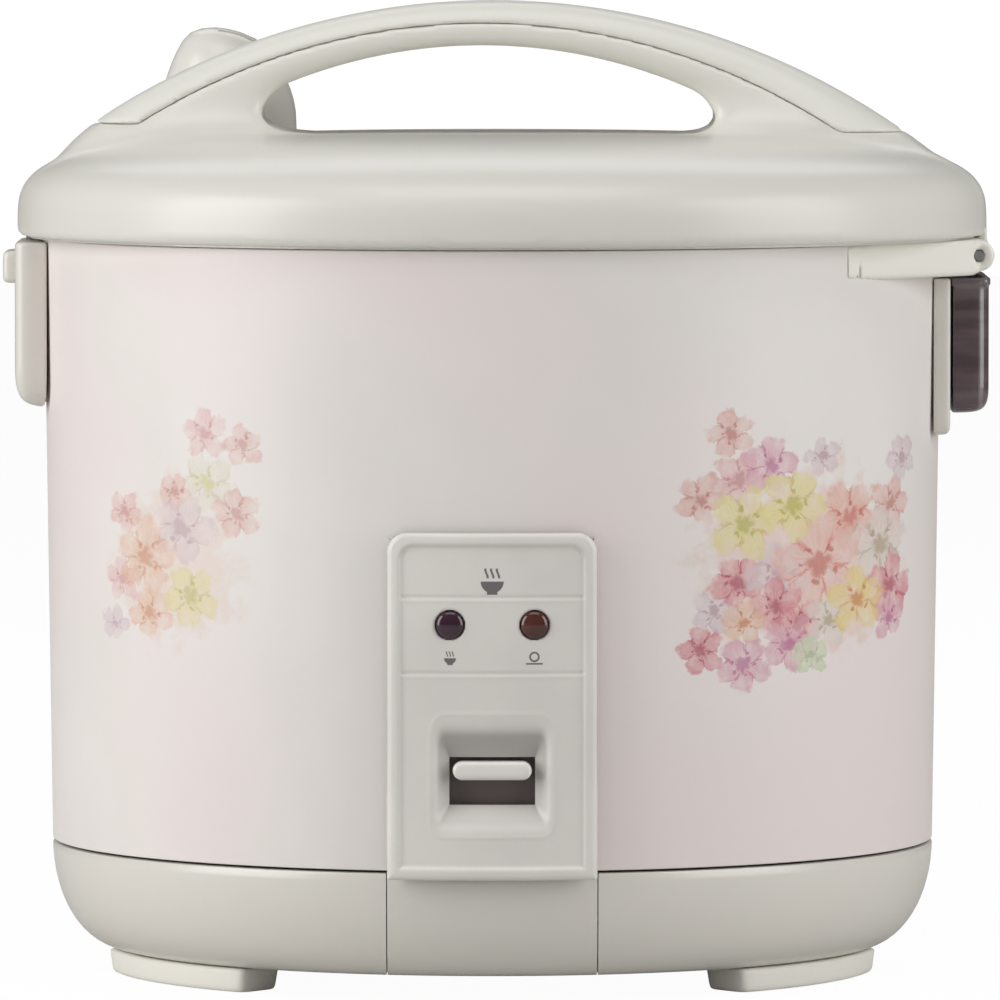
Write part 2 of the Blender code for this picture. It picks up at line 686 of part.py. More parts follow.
def build_rocker_bracket():
    low = PLATE_Z + 1.5 * MM + GAP
    y0, y1 = ROCKER_Y - 5 * MM, ROCKER_Y + 5 * MM
    foot = block(-9.5 * MM, 9.5 * MM, y0, y1, low, low + 1.5 * MM)
    for side in (-1, 1):
        near, far = sorted((side * (ROCKER_X + 1.0 * MM), side * 9.5 * MM))
        join(foot, block(near, far, y0, y1, low, ROCKER_Z + 5 * MM))
    cut(foot, rod((0, ROCKER_Y, ROCKER_Z), PIN_R + GAP, 40 * MM, "X"))
    part(foot, "rocker_bracket", METAL, 0.4, 1.0)


def build_microswitch():
    case = block(11 * MM, 20 * MM, -102 * MM, -82 * MM, PLATE_Z + 2 * MM, PLATE_Z + 18 * MM)
    part(bevelled(case, 0.8 * MM, 1), "microswitch", (0.04, 0.04, 0.045), 0.5)


# ---------------------------------------------------------------- pot, heater, sensor, casing

def pot_outline(offset, rows=5):
    """Inner or outer line of the pot's wall and floor, from the mouth down to the axis."""
    radius = POT_R + offset
    corner = POT_CORNER + offset
    floor = POT_FLOOR_Z - offset
    middle = (radius - corner, floor + corner)
    return arc(middle, corner, 0, -90, rows) + [(0.0, floor)]


def build_inner_pot():
    lip = POT_R + POT_WALL + POT_FLANGE
    top = POT_TOP_Z
    profile = [(POT_R, top), (lip, top), (lip, top - POT_WALL), (POT_R + POT_WALL, top - POT_WALL)]
    profile += pot_outline(POT_WALL) + pot_outline(0.0)[::-1]
    part(turned(profile, INSIDE), "inner_pot", (0.30, 0.30, 0.31), 0.35, 0.8)


def build_inner_casing():
    """Pressed bucket round the pot, with a flange under the rim and a floor that holds the heater."""
    top = SEAM_Z - RIM_H - 2 * GAP - 0.4 * MM
    out = CASING_R + SHEET
    low = CASING_Z
    profile = [(CASING_R + 11 * MM, top), (CASING_R + 11 * MM, top - SHEET), (out, top - SHEET), (out, low)]
    profile += [(4.5 * MM, low), (4.5 * MM, low + SHEET), (CASING_R, low + SHEET), (CASING_R, top)]
    part(turned(profile, INSIDE), "inner_casing", METAL, 0.4, 1.0)


def leg_places(radius, turn=0):
    return [(radius * cos(radians(a + turn)), radius * sin(radians(a + turn))) for a in (30, 150, 270)]


def build_supports():
    low, high = PLATE_Z + 1.5 * MM + GAP, CASING_Z - GAP
    for k, (x, y) in enumerate(leg_places(LEG_R, 15), 1):
        part(rod((x, y, (low + high) / 2), 4 * MM, high - low), f"casing_leg_{k}", METAL, 0.4, 1.0)
    low, high = CASING_Z + SHEET + GAP, heater_low() - GAP
    for k, (x, y) in enumerate(leg_places(60 * MM), 1):
        part(rod((x, y, (low + high) / 2), 5 * MM, high - low), f"heater_post_{k}", METAL, 0.4, 1.0)


def heater_low():
    return POT_FLOOR_Z - POT_WALL - GAP - HEATER_H


def build_heating_plate():
    low = heater_low()
    plate = ring(20 * MM, HEATER_R, low, low + HEATER_H)
    part(bevelled(plate, 1.0 * MM, 1), "heating_plate", (0.62, 0.62, 0.63), 0.5, 1.0)


def build_sensor():
    top = POT_FLOOR_Z - POT_WALL - GAP
    cap = disc(SENSOR_R, top - 2 * MM, top, 32)
    stem = rod((0, 0, (top - 1 * MM + 52 * MM) / 2), 3 * MM, top - 1 * MM - 52 * MM, "Z", 16)
    cap = part(join(cap, stem), "sensor_cap", METAL, 0.3, 1.0)
    placed_on_axis(cap, (0.0, 0.0, top))
    low, high = CASING_Z + SHEET, top - 2 * MM
    margin = 1.0 * MM
    spring = coil((0, 0, (low + high) / 2), 9 * MM, 0.6 * MM, high - low - 2 * margin, 4)
    part(spring, "sensor_spring", METAL, 0.3, 1.0)


def build_keep_warm_band():
    inner = CASING_R + SHEET + GAP
    part(ring(inner, inner + 1.4 * MM, 140 * MM, 175 * MM), "keep_warm_band", (0.55, 0.5, 0.42), 0.7)


def build_thermal_fuse():
    part(rod((30 * MM, 20 * MM, CASING_Z - 3.2 * MM), 2.2 * MM, 16 * MM, "X", 12), "thermal_fuse",
         (0.75, 0.72, 0.62), 0.5)


# ---------------------------------------------------------------- power inlet

def build_power_inlet():
    low, high = INLET_Z - INLET_H / 2, INLET_Z + INLET_H / 2
    back = 139 * MM
    housing = block(-INLET_X, INLET_X, 122 * MM, back, low, high)
    flange = block(-INLET_X - 3 * MM, INLET_X + 3 * MM, 125 * MM, back, low - 3 * MM, high + 3 * MM)
    bevelled(flange, 1.0 * MM, 1)
    cut(flange, disc(BODY_TOP_R, 0.0, SEAM_Z, ROUND))
    join(housing, flange)
    cut(housing, block(-INLET_X + 5 * MM, INLET_X - 5 * MM, 126 * MM, 150 * MM, low + 5 * MM, high - 5 * MM))
    for side in (-1, 1):
        cut(housing, rod((side * 7 * MM, 130 * MM, INLET_Z), 2.3 * MM, 30 * MM, "Y", 16))
        pin = rod((side * 7 * MM, 128.4 * MM, INLET_Z), 2.0 * MM, 15.6 * MM, "Y", 16)
        part(bevelled(pin, 0.5 * MM, 1), f"inlet_pin_{'left' if side < 0 else 'right'}", METAL, 0.3, 1.0)
    part(housing, "power_inlet", (0.05, 0.05, 0.05), 0.5)


# ---------------------------------------------------------------- lid

def stretched(item):
    """The lid is turned, then widened: it reaches out to the latch on one side and the hinge on the other."""
    for vert in item.data.vertices:
        vert.co.x *= (LID_RIGHT if vert.co.x > 0 else LID_LEFT) / LID_R
    return item


def dome(offset, low, rows=7):
    """Solid under the lid's surface moved by offset: a superellipse of the fourth power, turned."""
    radius = LID_R + offset
    height = LID_H + offset
    profile = []
    for k in range(rows + 1):
        angle = pi / 2 * k / rows
        profile.append((radius * sin(angle) ** 0.5, LID_Z + height * cos(angle) ** 0.5))
    profile += [(radius, low), (0.0, low)]
    return stretched(turned(profile, ROUND))


def arch_centre():
    return (0.0, HANDLE_TOP_Z - ARCH_R)


def grip_centre():
    return (GRIP_X, HANDLE_TOP_Z - GRIP_THICK - GRIP_R)


def grip_hole(offset, low=None):
    """Outline of the gap under the grip, grown by offset; with low it runs straight down to there."""
    centre = grip_centre()
    reach = GRIP_R - GRIP_END_R
    rise, run = reach * cos(radians(GRIP_HALF)), reach * sin(radians(GRIP_HALF))
    left = (centre[0] - run, centre[1] + rise)
    right = (centre[0] + run, centre[1] + rise)
    end = GRIP_END_R + offset
    last = 0 if low is not None else -90
    points = arc(right, end, last, 90 - GRIP_HALF, 6)
    points += arc(centre, GRIP_R + offset, 90 - GRIP_HALF, 90 + GRIP_HALF, 12)[1:-1]
    points += arc(left, end, 90 + GRIP_HALF, 180 - last, 6)
    if low is not None:
        points = [(right[0] + end, low)] + points + [(left[0] - end, low)]
    return points


def arch_angle(x):
    return degrees(asin(x / ARCH_R))


def handle_blank():
    """Whole handle: the arch with its two legs and the hole through it."""
    foot_z = LID_Z + 8 * MM
    outline = [(LID_RIGHT - 1.2 * MM, foot_z), (LID_RIGHT - 2.6 * MM, foot_z + 5 * MM)]
    right, left = arch_angle(LID_RIGHT - 5.0 * MM), arch_angle(LID_LEFT - 11.4 * MM)
    outline += arc(arch_centre(), ARCH_R, 90 - right, 90 + left, 24)
    outline += [(-LID_LEFT + 8.8 * MM, foot_z + 15 * MM), (-LID_LEFT + 3.9 * MM, foot_z + 9 * MM)]
    outline += [(-LID_LEFT + 1.2 * MM, foot_z)]
    blank = slab(outline, -HANDLE_Y, HANDLE_Y)
    hole = slab(grip_hole(0.0), -HANDLE_Y - 5 * MM, HANDLE_Y + 5 * MM)
    return cut(blank, hole)


def cap_region(offset):
    """Everything above the seam between the handle's cover and its lower half."""
    centre = (-1.0 * MM, HANDLE_TOP_Z - CAP_THICK - CAP_SEAM_R)
    radius = CAP_SEAM_R + offset
    level = CAP_END_Z + offset
    half = degrees(asin((level - centre[1]) / radius))
    far, top = LID_RIGHT + 11.9 * MM, HANDLE_TOP_Z + 30 * MM
    outline = [(far, top), (-far, top), (-far, level)]
    outline += arc(centre, radius, 180 - half, half, 24) + [(far, level)]
    return slab(outline, -60 * MM, 60 * MM)


def handle_channel():
    """Hollow inside the handle: it opens down through the legs into the lid."""
    side = LID_LEFT - 30.4 * MM
    low = LID_Z + 17 * MM
    half = degrees(asin(side / (ARCH_R - WALL)))
    outline = arc(arch_centre(), ARCH_R - WALL, 90 - half, 90 + half, 23)
    outline += [(-side, low)] + grip_hole(WALL, low)[::-1] + [(side, low)]
    half = HANDLE_Y - WALL - 0.15 * MM
    return slab(outline, -half, half)


def build_lid_shell():
    lower = cut(handle_blank(), cap_region(-0.15 * MM))
    shell = join(dome(0.0, LID_Z), lower)
    cut(shell, dome(-WALL, SEAM_Z - 20 * MM), handle_channel())
    cut(shell, rod((STEAM_X, STEAM_Y, LID_Z + 20 * MM), DUCT_R + GAP, 60 * MM, "Z", 32))
    cut(shell, block(-LID_LEFT + 1.8 * MM, -120 * MM, -9 * MM, 9 * MM, SEAM_Z - 18.5 * MM, LID_Z + 9 * MM))
    inner = KNUCKLE_Y + 0.6 * MM
    for side in (-1, 1):
        cut(shell, hinge_rod(BARREL_R + 0.7 * MM, *sorted((side * inner, side * (LEDGE_Y + 10 * MM)))))
    half = KNUCKLE_Y - 0.2 * MM
    web = block(HINGE_X + 0.7 * MM, LID_RIGHT - 0.3 * MM, -half, half, HINGE_Z + 0.4 * MM, LID_Z + 3 * MM)
    join(web, hinge_rod(BARREL_R, -KNUCKLE_Y, KNUCKLE_Y))
    join(shell, web)
    cut(shell, hinge_rod(PIN_R + GAP, -60 * MM, 60 * MM))
    shell = part(shell, "lid_shell", CREAM, 0.4)
    placed_on_axis(shell, (HINGE_X, 0.0, HINGE_Z))


def build_handle_cap():
    cap = common(handle_blank(), cap_region(0.15 * MM))
    cut(cap, handle_channel())
    cap = part(cap, "handle_cap", CREAM, 0.45)
    placed_on_axis(cap, (HINGE_X, 0.0, HINGE_Z))


def liner_z():
    return LID_Z + 0.6 * MM


def lid_screw_places():
    return [(0.0, 70 * MM), (0.0, -70 * MM)]


def build_lid_liner():
    """Inner cover of the lid, with the boss that the inner lid hangs on."""
    low, high = liner_z(), liner_z() + 2 * MM
    edge = LID_R - WALL - 0.6 * MM
    plate = stretched(disc(edge, low, high, ROUND))
    join(plate, rod((0, 0, low - 2 * MM), 8 * MM, 5 * MM))
    cut(plate, rod((STEAM_X, STEAM_Y, low), DUCT_R + GAP, 20 * MM, "Z", 32))
    cut(plate, block(-150 * MM, -LID_LEFT + 8 * MM, -9 * MM, 9 * MM, low - 5 * MM, high + 5 * MM))
    for x, y in lid_screw_places():
        cut(plate, rod((x, y, low), 1.8 * MM, 20 * MM))
    plate = part(plate, "lid_liner", CREAM, 0.45)
    placed_on_axis(plate, (HINGE_X, 0.0, HINGE_Z))


def inner_lid_z():
    return POT_TOP_Z + 1.0 * MM


def build_inner_lid():
    low = inner_lid_z()
    edge = POT_R + 0.5 * MM
    plate = ring(5 * MM, edge, low, low + 1.2 * MM)
    for k in range(6):
        angle = radians(60 * k)
        cut(plate, rod((28 * MM * cos(angle), 28 * MM * sin(angle), low), 2.2 * MM, 10 * MM, "Z", 12))
    plate = part(plate, "inner_lid", METAL, 0.35, 1.0)
    placed_on_axis(plate, (HINGE_X, 0.0, HINGE_Z))
    seal = ring(edge + 0.4 * MM, edge + 5 * MM, low - 0.6 * MM, low + 1.8 * MM)
    seal = part(seal, "lid_gasket", (0.75, 0.75, 0.73), 0.6)
    placed_on_axis(seal, (HINGE_X, 0.0, HINGE_Z))
    head = rod((0, 0, low - GAP - 2 * MM), 11 * MM, 4 * MM, "Z", 32)
    bevelled(head, 1.2 * MM, 2)
    stem = rod((0, 0, low + 0.5 * MM), 4.2 * MM, 3.6 * MM)
    knob = part(join(head, stem), "inner_lid_knob", (0.08, 0.08, 0.08), 0.5)
    placed_on_axis(knob, (HINGE_X, 0.0, HINGE_Z))


def build_lid_screws():
    for k, (x, y) in enumerate(lid_screw_places(), 1):
        head = rod((x, y, liner_z() - GAP - 0.8 * MM), 3.2 * MM, 1.6 * MM)
        shank = rod((x, y, liner_z() + 3 * MM), 1.4 * MM, 8 * MM)
        screw = part(join(shank, head), f"lid_screw_{k}", METAL, 0.35, 1.0)
        placed_on_axis(screw, (HINGE_X, 0.0, HINGE_Z))


def build_lid_catch():
    low = SEAM_Z + 6.8 * MM
    catch = block(-LID_LEFT + 2.1 * MM, -LID_LEFT + 4.4 * MM, -8 * MM, 8 * MM, low, low + 1.4 * MM)
    catch = part(catch, "lid_catch", METAL, 0.3, 1.0)
    placed_on_axis(catch, (HINGE_X, 0.0, HINGE_Z))


def build_steam_duct():
    low = inner_lid_z() + 2.5 * MM
    duct = ring(DUCT_R - 2 * MM, DUCT_R, low, 262 * MM, 32)
    duct.data.transform(Matrix.Translation((STEAM_X, STEAM_Y, 0.0)))
    duct = part(duct, "steam_duct", (0.7, 0.69, 0.65), 0.5)
    placed_on_axis(duct, (HINGE_X, 0.0, HINGE_Z))


def build_steam_cap():
    """Hood over the steam duct: a turned shape that leans, standing on the lid's curve."""
    low = LID_Z + 20 * MM
    top = STEAM_TOP
    steps = ((0.0, 0.0), (4.0, 0.6), (9.0, 1.6), (13.5, 5.5), (15.6, 8.9), (17.0, 12.2), (18.6, 15.5),
             (19.8, 18.8), (20.6, 25.0))
    outer = [(r * MM, top - drop * MM) for r, drop in steps] + [(STEAM_R, low)]
    wall = 2.2 * MM
    inner = [(max(r * MM - wall * r / 20.6, 0.0), top - drop * MM - wall * 1.2) for r, drop in steps]
    inner += [(STEAM_R - wall, low)]
    cap = turned(outer + inner[::-1], 24)
    for vert in cap.data.vertices:
        vert.co.z -= STEAM_LEAN * vert.co.x * (vert.co.z - low) / (top - low)
    cap.data.transform(Matrix.Translation((STEAM_X, STEAM_Y, 0.0)))
    for k in (-1, 0, 1):
        x = STEAM_X + 3 * MM
        y = STEAM_Y + 6 * MM * k
        cut(cap, block(x - 6 * MM, x + 6 * MM, y - 1.2 * MM, y + 1.2 * MM, 272 * MM, 290 * MM))
    cut(cap, dome(0.5 * MM, SEAM_Z))
    cap = part(cap, "steam_cap", CREAM, 0.4)
    placed_on_axis(cap, (STEAM_X, STEAM_Y, low))


# ---------------------------------------------------------------- everything

clear_scene()
PARTS = new_collection("rice_cooker")
CUTTERS = new_collection("cutters")

build_base()
build_bottom_plate()
build_base_screws()
build_feet()
build_outer_body()
build_upper_rim()
build_hinge_pin()
build_lid_spring()
build_latch_cover()
build_hook_button()
build_latch_hook()
build_latch_spring()
build_dew_bracket()
build_dew_collector()
build_control_panel()
build_lamps()
build_cook_lever()
build_lever_shutter()
build_rocker()
build_rocker_bracket()
build_microswitch()
build_inner_pot()
build_inner_casing()
build_supports()
build_heating_plate()
build_sensor()
build_keep_warm_band()
build_thermal_fuse()
build_power_inlet()
build_lid_shell()
build_handle_cap()
build_lid_liner()
build_inner_lid()
build_lid_screws()
build_lid_catch()
build_steam_duct()
build_steam_cap()
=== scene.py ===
from math import cos, pi, radians, sin

import bmesh
import bpy
import numpy as np
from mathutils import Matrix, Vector


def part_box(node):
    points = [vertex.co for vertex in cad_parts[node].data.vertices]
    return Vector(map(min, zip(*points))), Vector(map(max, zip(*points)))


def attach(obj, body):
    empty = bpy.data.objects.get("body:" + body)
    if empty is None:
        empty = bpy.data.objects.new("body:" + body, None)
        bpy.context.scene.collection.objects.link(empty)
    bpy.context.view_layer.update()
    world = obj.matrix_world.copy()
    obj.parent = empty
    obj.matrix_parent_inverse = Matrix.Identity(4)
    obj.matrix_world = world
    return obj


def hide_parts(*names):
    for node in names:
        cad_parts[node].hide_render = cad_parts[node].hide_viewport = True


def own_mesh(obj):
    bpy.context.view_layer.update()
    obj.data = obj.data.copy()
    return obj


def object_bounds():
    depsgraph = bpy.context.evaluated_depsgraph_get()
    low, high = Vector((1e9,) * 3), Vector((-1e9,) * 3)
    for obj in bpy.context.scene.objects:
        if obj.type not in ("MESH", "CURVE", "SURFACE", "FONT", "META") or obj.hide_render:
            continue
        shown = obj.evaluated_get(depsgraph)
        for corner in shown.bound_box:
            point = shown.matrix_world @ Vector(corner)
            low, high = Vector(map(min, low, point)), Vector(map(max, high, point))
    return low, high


bl_info = {
    "name": "Rice cooker looks",
    "version": (1, 0, 0),
    "blender": (4, 5, 0),
    "location": "View3D > Sidebar > Rice cooker",
    "description": "Builds the visible surfaces of a rice cooker round its packed model",
    "category": "Add Mesh",
}

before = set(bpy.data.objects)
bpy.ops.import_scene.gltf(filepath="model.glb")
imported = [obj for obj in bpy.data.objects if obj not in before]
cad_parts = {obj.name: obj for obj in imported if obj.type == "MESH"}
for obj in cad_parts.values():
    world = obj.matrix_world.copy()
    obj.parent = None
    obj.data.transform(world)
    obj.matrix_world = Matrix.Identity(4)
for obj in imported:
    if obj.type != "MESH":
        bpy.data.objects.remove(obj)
CAD_LOW, CAD_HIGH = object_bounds()
MM = 0.001


# ---------------------------------------------------------------- node trees

class Value:
    """A value in a node tree. An expression on values adds its Math nodes to the tree."""

    def __init__(self, tree, socket):
        self.tree, self.socket = tree, socket

    def math(self, operation, *others):
        inputs = dict(enumerate((self, *others)))
        return self.tree.make("ShaderNodeMath", {"operation": operation}, inputs)

    def __add__(self, other):
        return self.math("ADD", other)

    def __sub__(self, other):
        return self.math("SUBTRACT", other)

    def __rsub__(self, other):
        return self.tree.make("ShaderNodeMath", {"operation": "SUBTRACT"}, {0: other, 1: self})

    def __mul__(self, other):
        return self.math("MULTIPLY", other)

    def __truediv__(self, other):
        return self.math("DIVIDE", other)

    def __rtruediv__(self, other):
        return self.tree.make("ShaderNodeMath", {"operation": "DIVIDE"}, {0: other, 1: self})

    def __pow__(self, power):
        return self.math("POWER", power)

    def __neg__(self):
        return self * -1.0

    def __abs__(self):
        return self.math("ABSOLUTE")

    __radd__, __rmul__ = __add__, __mul__

    def least(self, other, soft=0.0):
        return self.math("SMOOTH_MIN", other, soft) if soft else self.math("MINIMUM", other)

    def most(self, other, soft=0.0):
        return self.math("SMOOTH_MAX", other, soft) if soft else self.math("MAXIMUM", other)

    def root(self):
        return self.math("SQRT")

    def over(self, level):
        """1 where the value is above the level, else 0."""
        return self.math("GREATER_THAN", level)

    def ramp(self, start, end, low=0.0, high=1.0):
        """Goes smoothly from low to high while the value goes from start to end."""
        settings = {"interpolation_type": "SMOOTHSTEP", "clamp": False}
        inputs = {0: self, 1: start, 2: end, 3: low, 4: high}
        return self.tree.make("ShaderNodeMapRange", settings, inputs)


class Tree:
    """A node tree being built."""

    def __init__(self, tree):
        self.nodes, self.links = tree.nodes, tree.links

    def make(self, kind, settings=None, inputs=None, output=0):
        """Any node: its type, its settings, which are set first, and the values or links of its sockets."""
        node = self.nodes.new(kind)
        for name, value in (settings or {}).items():
            setattr(node, name, value)
        for key, value in (inputs or {}).items():
            if isinstance(value, Value):
                self.links.new(value.socket, node.inputs[key])
            else:
                node.inputs[key].default_value = value
        return node if output is None else Value(self, node.outputs[output])

    def mix(self, share, first, second, blend="MIX"):
        """A colour between two colours."""
        full = [c if isinstance(c, Value) else (*c, 1.0) for c in (first, second)]
        settings = {"data_type": "RGBA", "blend_type": blend}
        return self.make("ShaderNodeMix", settings, {0: share, 6: full[0], 7: full[1]}, 2)

    def vector(self, operation, *vectors, output=0):
        return self.make("ShaderNodeVectorMath", {"operation": operation}, dict(enumerate(vectors)), output)

    def split(self, vector):
        node = self.make("ShaderNodeSeparateXYZ", None, {0: vector}, None)
        return [Value(self, socket) for socket in node.outputs]

    def joined(self, x, y, z):
        return self.make("ShaderNodeCombineXYZ", None, {0: x, 1: y, 2: z})

    def noise(self, where, scale, detail=2.0, rough=0.5, output=0):
        inputs = {"Vector": where, "Scale": scale, "Detail": detail, "Roughness": rough}
        return self.make("ShaderNodeTexNoise", None, inputs, output)


def length(x, y):
    return (x * x + y * y).root()


# ---------------------------------------------------------------- shapes

def linked(name, mesh):
    item = bpy.data.objects.new(name, mesh)
    bpy.context.scene.collection.objects.link(item)
    return item


def smooth(mesh, angle=35.0):
    """Smooth shading, but for edges that turn more sharply than the angle."""
    build = bmesh.new()
    build.from_mesh(mesh)
    for face in build.faces:
        face.smooth = True
    for edge in build.edges:
        edge.smooth = len(edge.link_faces) != 2 or edge.calc_face_angle(0.0) < radians(angle)
    build.to_mesh(mesh)
    build.free()


def frozen(item):
    """The object's evaluated mesh put in place of its modifiers."""
    graph = bpy.context.evaluated_depsgraph_get()
    mesh = bpy.data.meshes.new_from_object(item.evaluated_get(graph))
    mesh.name = item.name
    item.modifiers.clear()
    item.data = mesh
    return item


def soft_solid(name, shape, low, high, cell, material):
    """A solid given by its distance rule in millimetres, meshed by Geometry Nodes over a box of cells.

    shape(tree, x, y, z) returns the distance, below zero inside.
    """
    group = bpy.data.node_groups.new(f"{name}_shape", "GeometryNodeTree")
    for label, kind in (("Low corner", "Vector"), ("High corner", "Vector"), ("Cells", "Vector")):
        group.interface.new_socket(label, in_out="INPUT", socket_type=f"NodeSocket{kind}")
    group.interface.new_socket("Solid", in_out="OUTPUT", socket_type="NodeSocketGeometry")
    tree = Tree(group)
    given = tree.make("NodeGroupInput", None, None, None)
    corners = [Value(tree, socket) for socket in given.outputs[:3]]
    place = tree.make("GeometryNodeInputPosition")
    x, y, z = [part * 1000.0 for part in tree.split(place)]
    cells = tree.split(corners[2])
    inputs = {"Density": -shape(tree, x, y, z), "Background": -50.0, "Min": corners[0], "Max": corners[1]}
    inputs.update({"Resolution X": cells[0], "Resolution Y": cells[1], "Resolution Z": cells[2]})
    cube = tree.make("GeometryNodeVolumeCube", None, inputs)
    skin = tree.make("GeometryNodeVolumeToMesh", {"resolution_mode": "GRID"},
                     {"Volume": cube, "Threshold": 0.0, "Adaptivity": 0.0})
    skin = tree.make("GeometryNodeSetShadeSmooth", None, {0: skin})
    skin = tree.make("GeometryNodeRealizeInstances", None, {0: skin})
    skin = tree.make("GeometryNodeSetMaterial", None, {0: skin, 2: material})
    tree.make("NodeGroupOutput", None, {0: skin}, None)
    item = linked(name, bpy.data.meshes.new(name))
    modifier = item.modifiers.new("shape", "NODES")
    modifier.node_group = group
    low, high = Vector(low), Vector(high)
    values = (low * MM, high * MM, (high - low) / cell)
    sockets = [s for s in group.interface.items_tree if s.in_out == "INPUT"]
    for socket, value in zip(sockets, values):
        modifier[socket.identifier] = [float(v) for v in value]
    frozen(item)
    if not item.data.polygons:
        raise RuntimeError(f"{name} came out empty")
    return item


def turned(name, profile, material, facets=192, stretch=(1.0, 1.0), centre=(0.0, 0.0), angle=35.0):
    """A closed outline in radius and height, in millimetres, turned about the Z axis."""
    build = bmesh.new()
    rings = []
    for k in range(facets):
        turn = 2 * pi * k / facets
        ring = []
        for radius, height in profile:
            x = radius * cos(turn)
            x *= stretch[1] if x > 0 else stretch[0]
            y = radius * sin(turn)
            ring.append(build.verts.new(Vector((x + centre[0], y + centre[1], height)) * MM))
        rings.append(ring)
    count = len(profile)
    for k in range(facets):
        first, second = rings[k], rings[(k + 1) % facets]
        for i in range(count):
            j = (i + 1) % count
            build.faces.new((first[i], second[i], second[j], first[j]))
    bmesh.ops.remove_doubles(build, verts=build.verts, dist=1e-6)
    bmesh.ops.dissolve_degenerate(build, edges=build.edges, dist=1e-7)
    bmesh.ops.recalc_face_normals(build, faces=build.faces)
    mesh = bpy.data.meshes.new(name)
    build.to_mesh(mesh)
    build.free()
    mesh.materials.append(material)
    smooth(mesh, angle)
    return linked(name, mesh)


def rounded_outline(points, radii, steps=4):
    """Closed outline with each corner rounded to its radius."""
    out = []
    count = len(points)
    for k, (point, radius) in enumerate(zip(points, radii)):
        here = np.array(point, float)
        before, after = np.array(points[k - 1], float), np.array(points[(k + 1) % count], float)
        if radius <= 0:
            out.append(tuple(here))
            continue
        a, b = before - here, after - here
        a, b = a / np.linalg.norm(a), b / np.linalg.norm(b)
        for i in range(steps + 1):
            t = i / steps
            spot = here + a * radius * (1 - t) ** 2 + b * radius * t ** 2
            out.append(tuple(spot))
    return out


def cut_by(item, cutters, operation="DIFFERENCE"):
    for cutter in cutters:
        modifier = item.modifiers.new("cut", "BOOLEAN")
        modifier.object, modifier.operation, modifier.solver = cutter, operation, "EXACT"
        frozen(item)
        bpy.data.objects.remove(cutter)
    smooth(item.data)
    return item


def block(x0, x1, y0, y1, z0, z1):
    """A cutter, in millimetres."""
    build = bmesh.new()
    bmesh.ops.create_cube(build, size=1.0)
    for vert in build.verts:
        u, v, w = vert.co
        x, y, z = x0 + (u + 0.5) * (x1 - x0), y0 + (v + 0.5) * (y1 - y0), z0 + (w + 0.5) * (z1 - z0)
        vert.co = Vector((x, y, z)) * MM
    mesh = bpy.data.meshes.new("cutter")
    build.to_mesh(mesh)
    build.free()
    return linked("cutter", mesh)


def placed(item, body, slot, *nodes):
    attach(item, body)
    if nodes:
        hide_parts(*nodes)
    return item


# ---------------------------------------------------------------- finishes

def new_material(name):
    """An empty material, its tree, and the place of the shaded point in millimetres."""
    made = bpy.data.materials.new(name)
    made.use_nodes = True
    made.node_tree.nodes.clear()
    tree = Tree(made.node_tree)
    spot = tree.make("ShaderNodeTexCoord", None, None, 3)
    spot = tree.make("ShaderNodeMapping", None, {"Vector": spot, "Scale": (1000.0, 1000.0, 1000.0)})
    return made, tree, spot


def shaded(tree, inputs, bump=None, strength=0.1, depth=0.1):
    """Ends a material in a Principled shader, with an optional bump."""
    if bump is not None:
        values = {"Height": bump, "Strength": strength, "Distance": depth * MM}
        inputs["Normal"] = tree.make("ShaderNodeBump", None, values)
    shader = tree.make("ShaderNodeBsdfPrincipled", None, inputs)
    end(tree, shader)


def end(tree, shader):
    tree.make("ShaderNodeOutputMaterial", None, {0: shader}, None)


def moulded(name, colour, rough=0.34, coat=0.15, grain=0.06, mottle=0.03, metallic=0.0):
    """Injection-moulded plastic: faint flow clouding, fine spark grain, uneven gloss."""
    made, tree, spot = new_material(name)
    cloud = tree.noise(spot, 0.022, 3.0, 0.55)
    fine = tree.noise(spot, 2.4, 2.0, 0.6)
    flow = tree.noise(tree.vector("MULTIPLY", spot, (0.02, 0.02, 0.16)), 1.0, 4.0, 0.6)
    shade = (cloud - 0.5) * mottle * 2.0 + (flow - 0.5) * mottle + (fine - 0.5) * 0.012
    dark = tuple(c * 0.86 for c in colour)
    light = tuple(min(1.0, c * 1.08) for c in colour)
    share = (shade + 0.6).least(1.0).most(0.0)
    specks = tree.make("ShaderNodeTexVoronoi", None, {"Vector": spot, "Scale": 0.35})
    spots = specks.ramp(0.05, 0.11, 0.35, 0.0)
    tint = tree.mix(share, dark, light)
    tint = tree.mix(spots * cloud.ramp(0.55, 0.75), tint, tuple(c * 0.8 for c in colour))
    uneven = rough + (cloud - 0.5) * 0.12 + (fine - 0.5) * 0.1
    inputs = {"Base Color": tint, "Roughness": uneven, "Metallic": metallic, "Coat Weight": coat,
              "Coat Roughness": 0.25, "Specular IOR Level": 0.45}
    shaded(tree, inputs, fine + flow * 0.4, grain, 0.12)
    return made


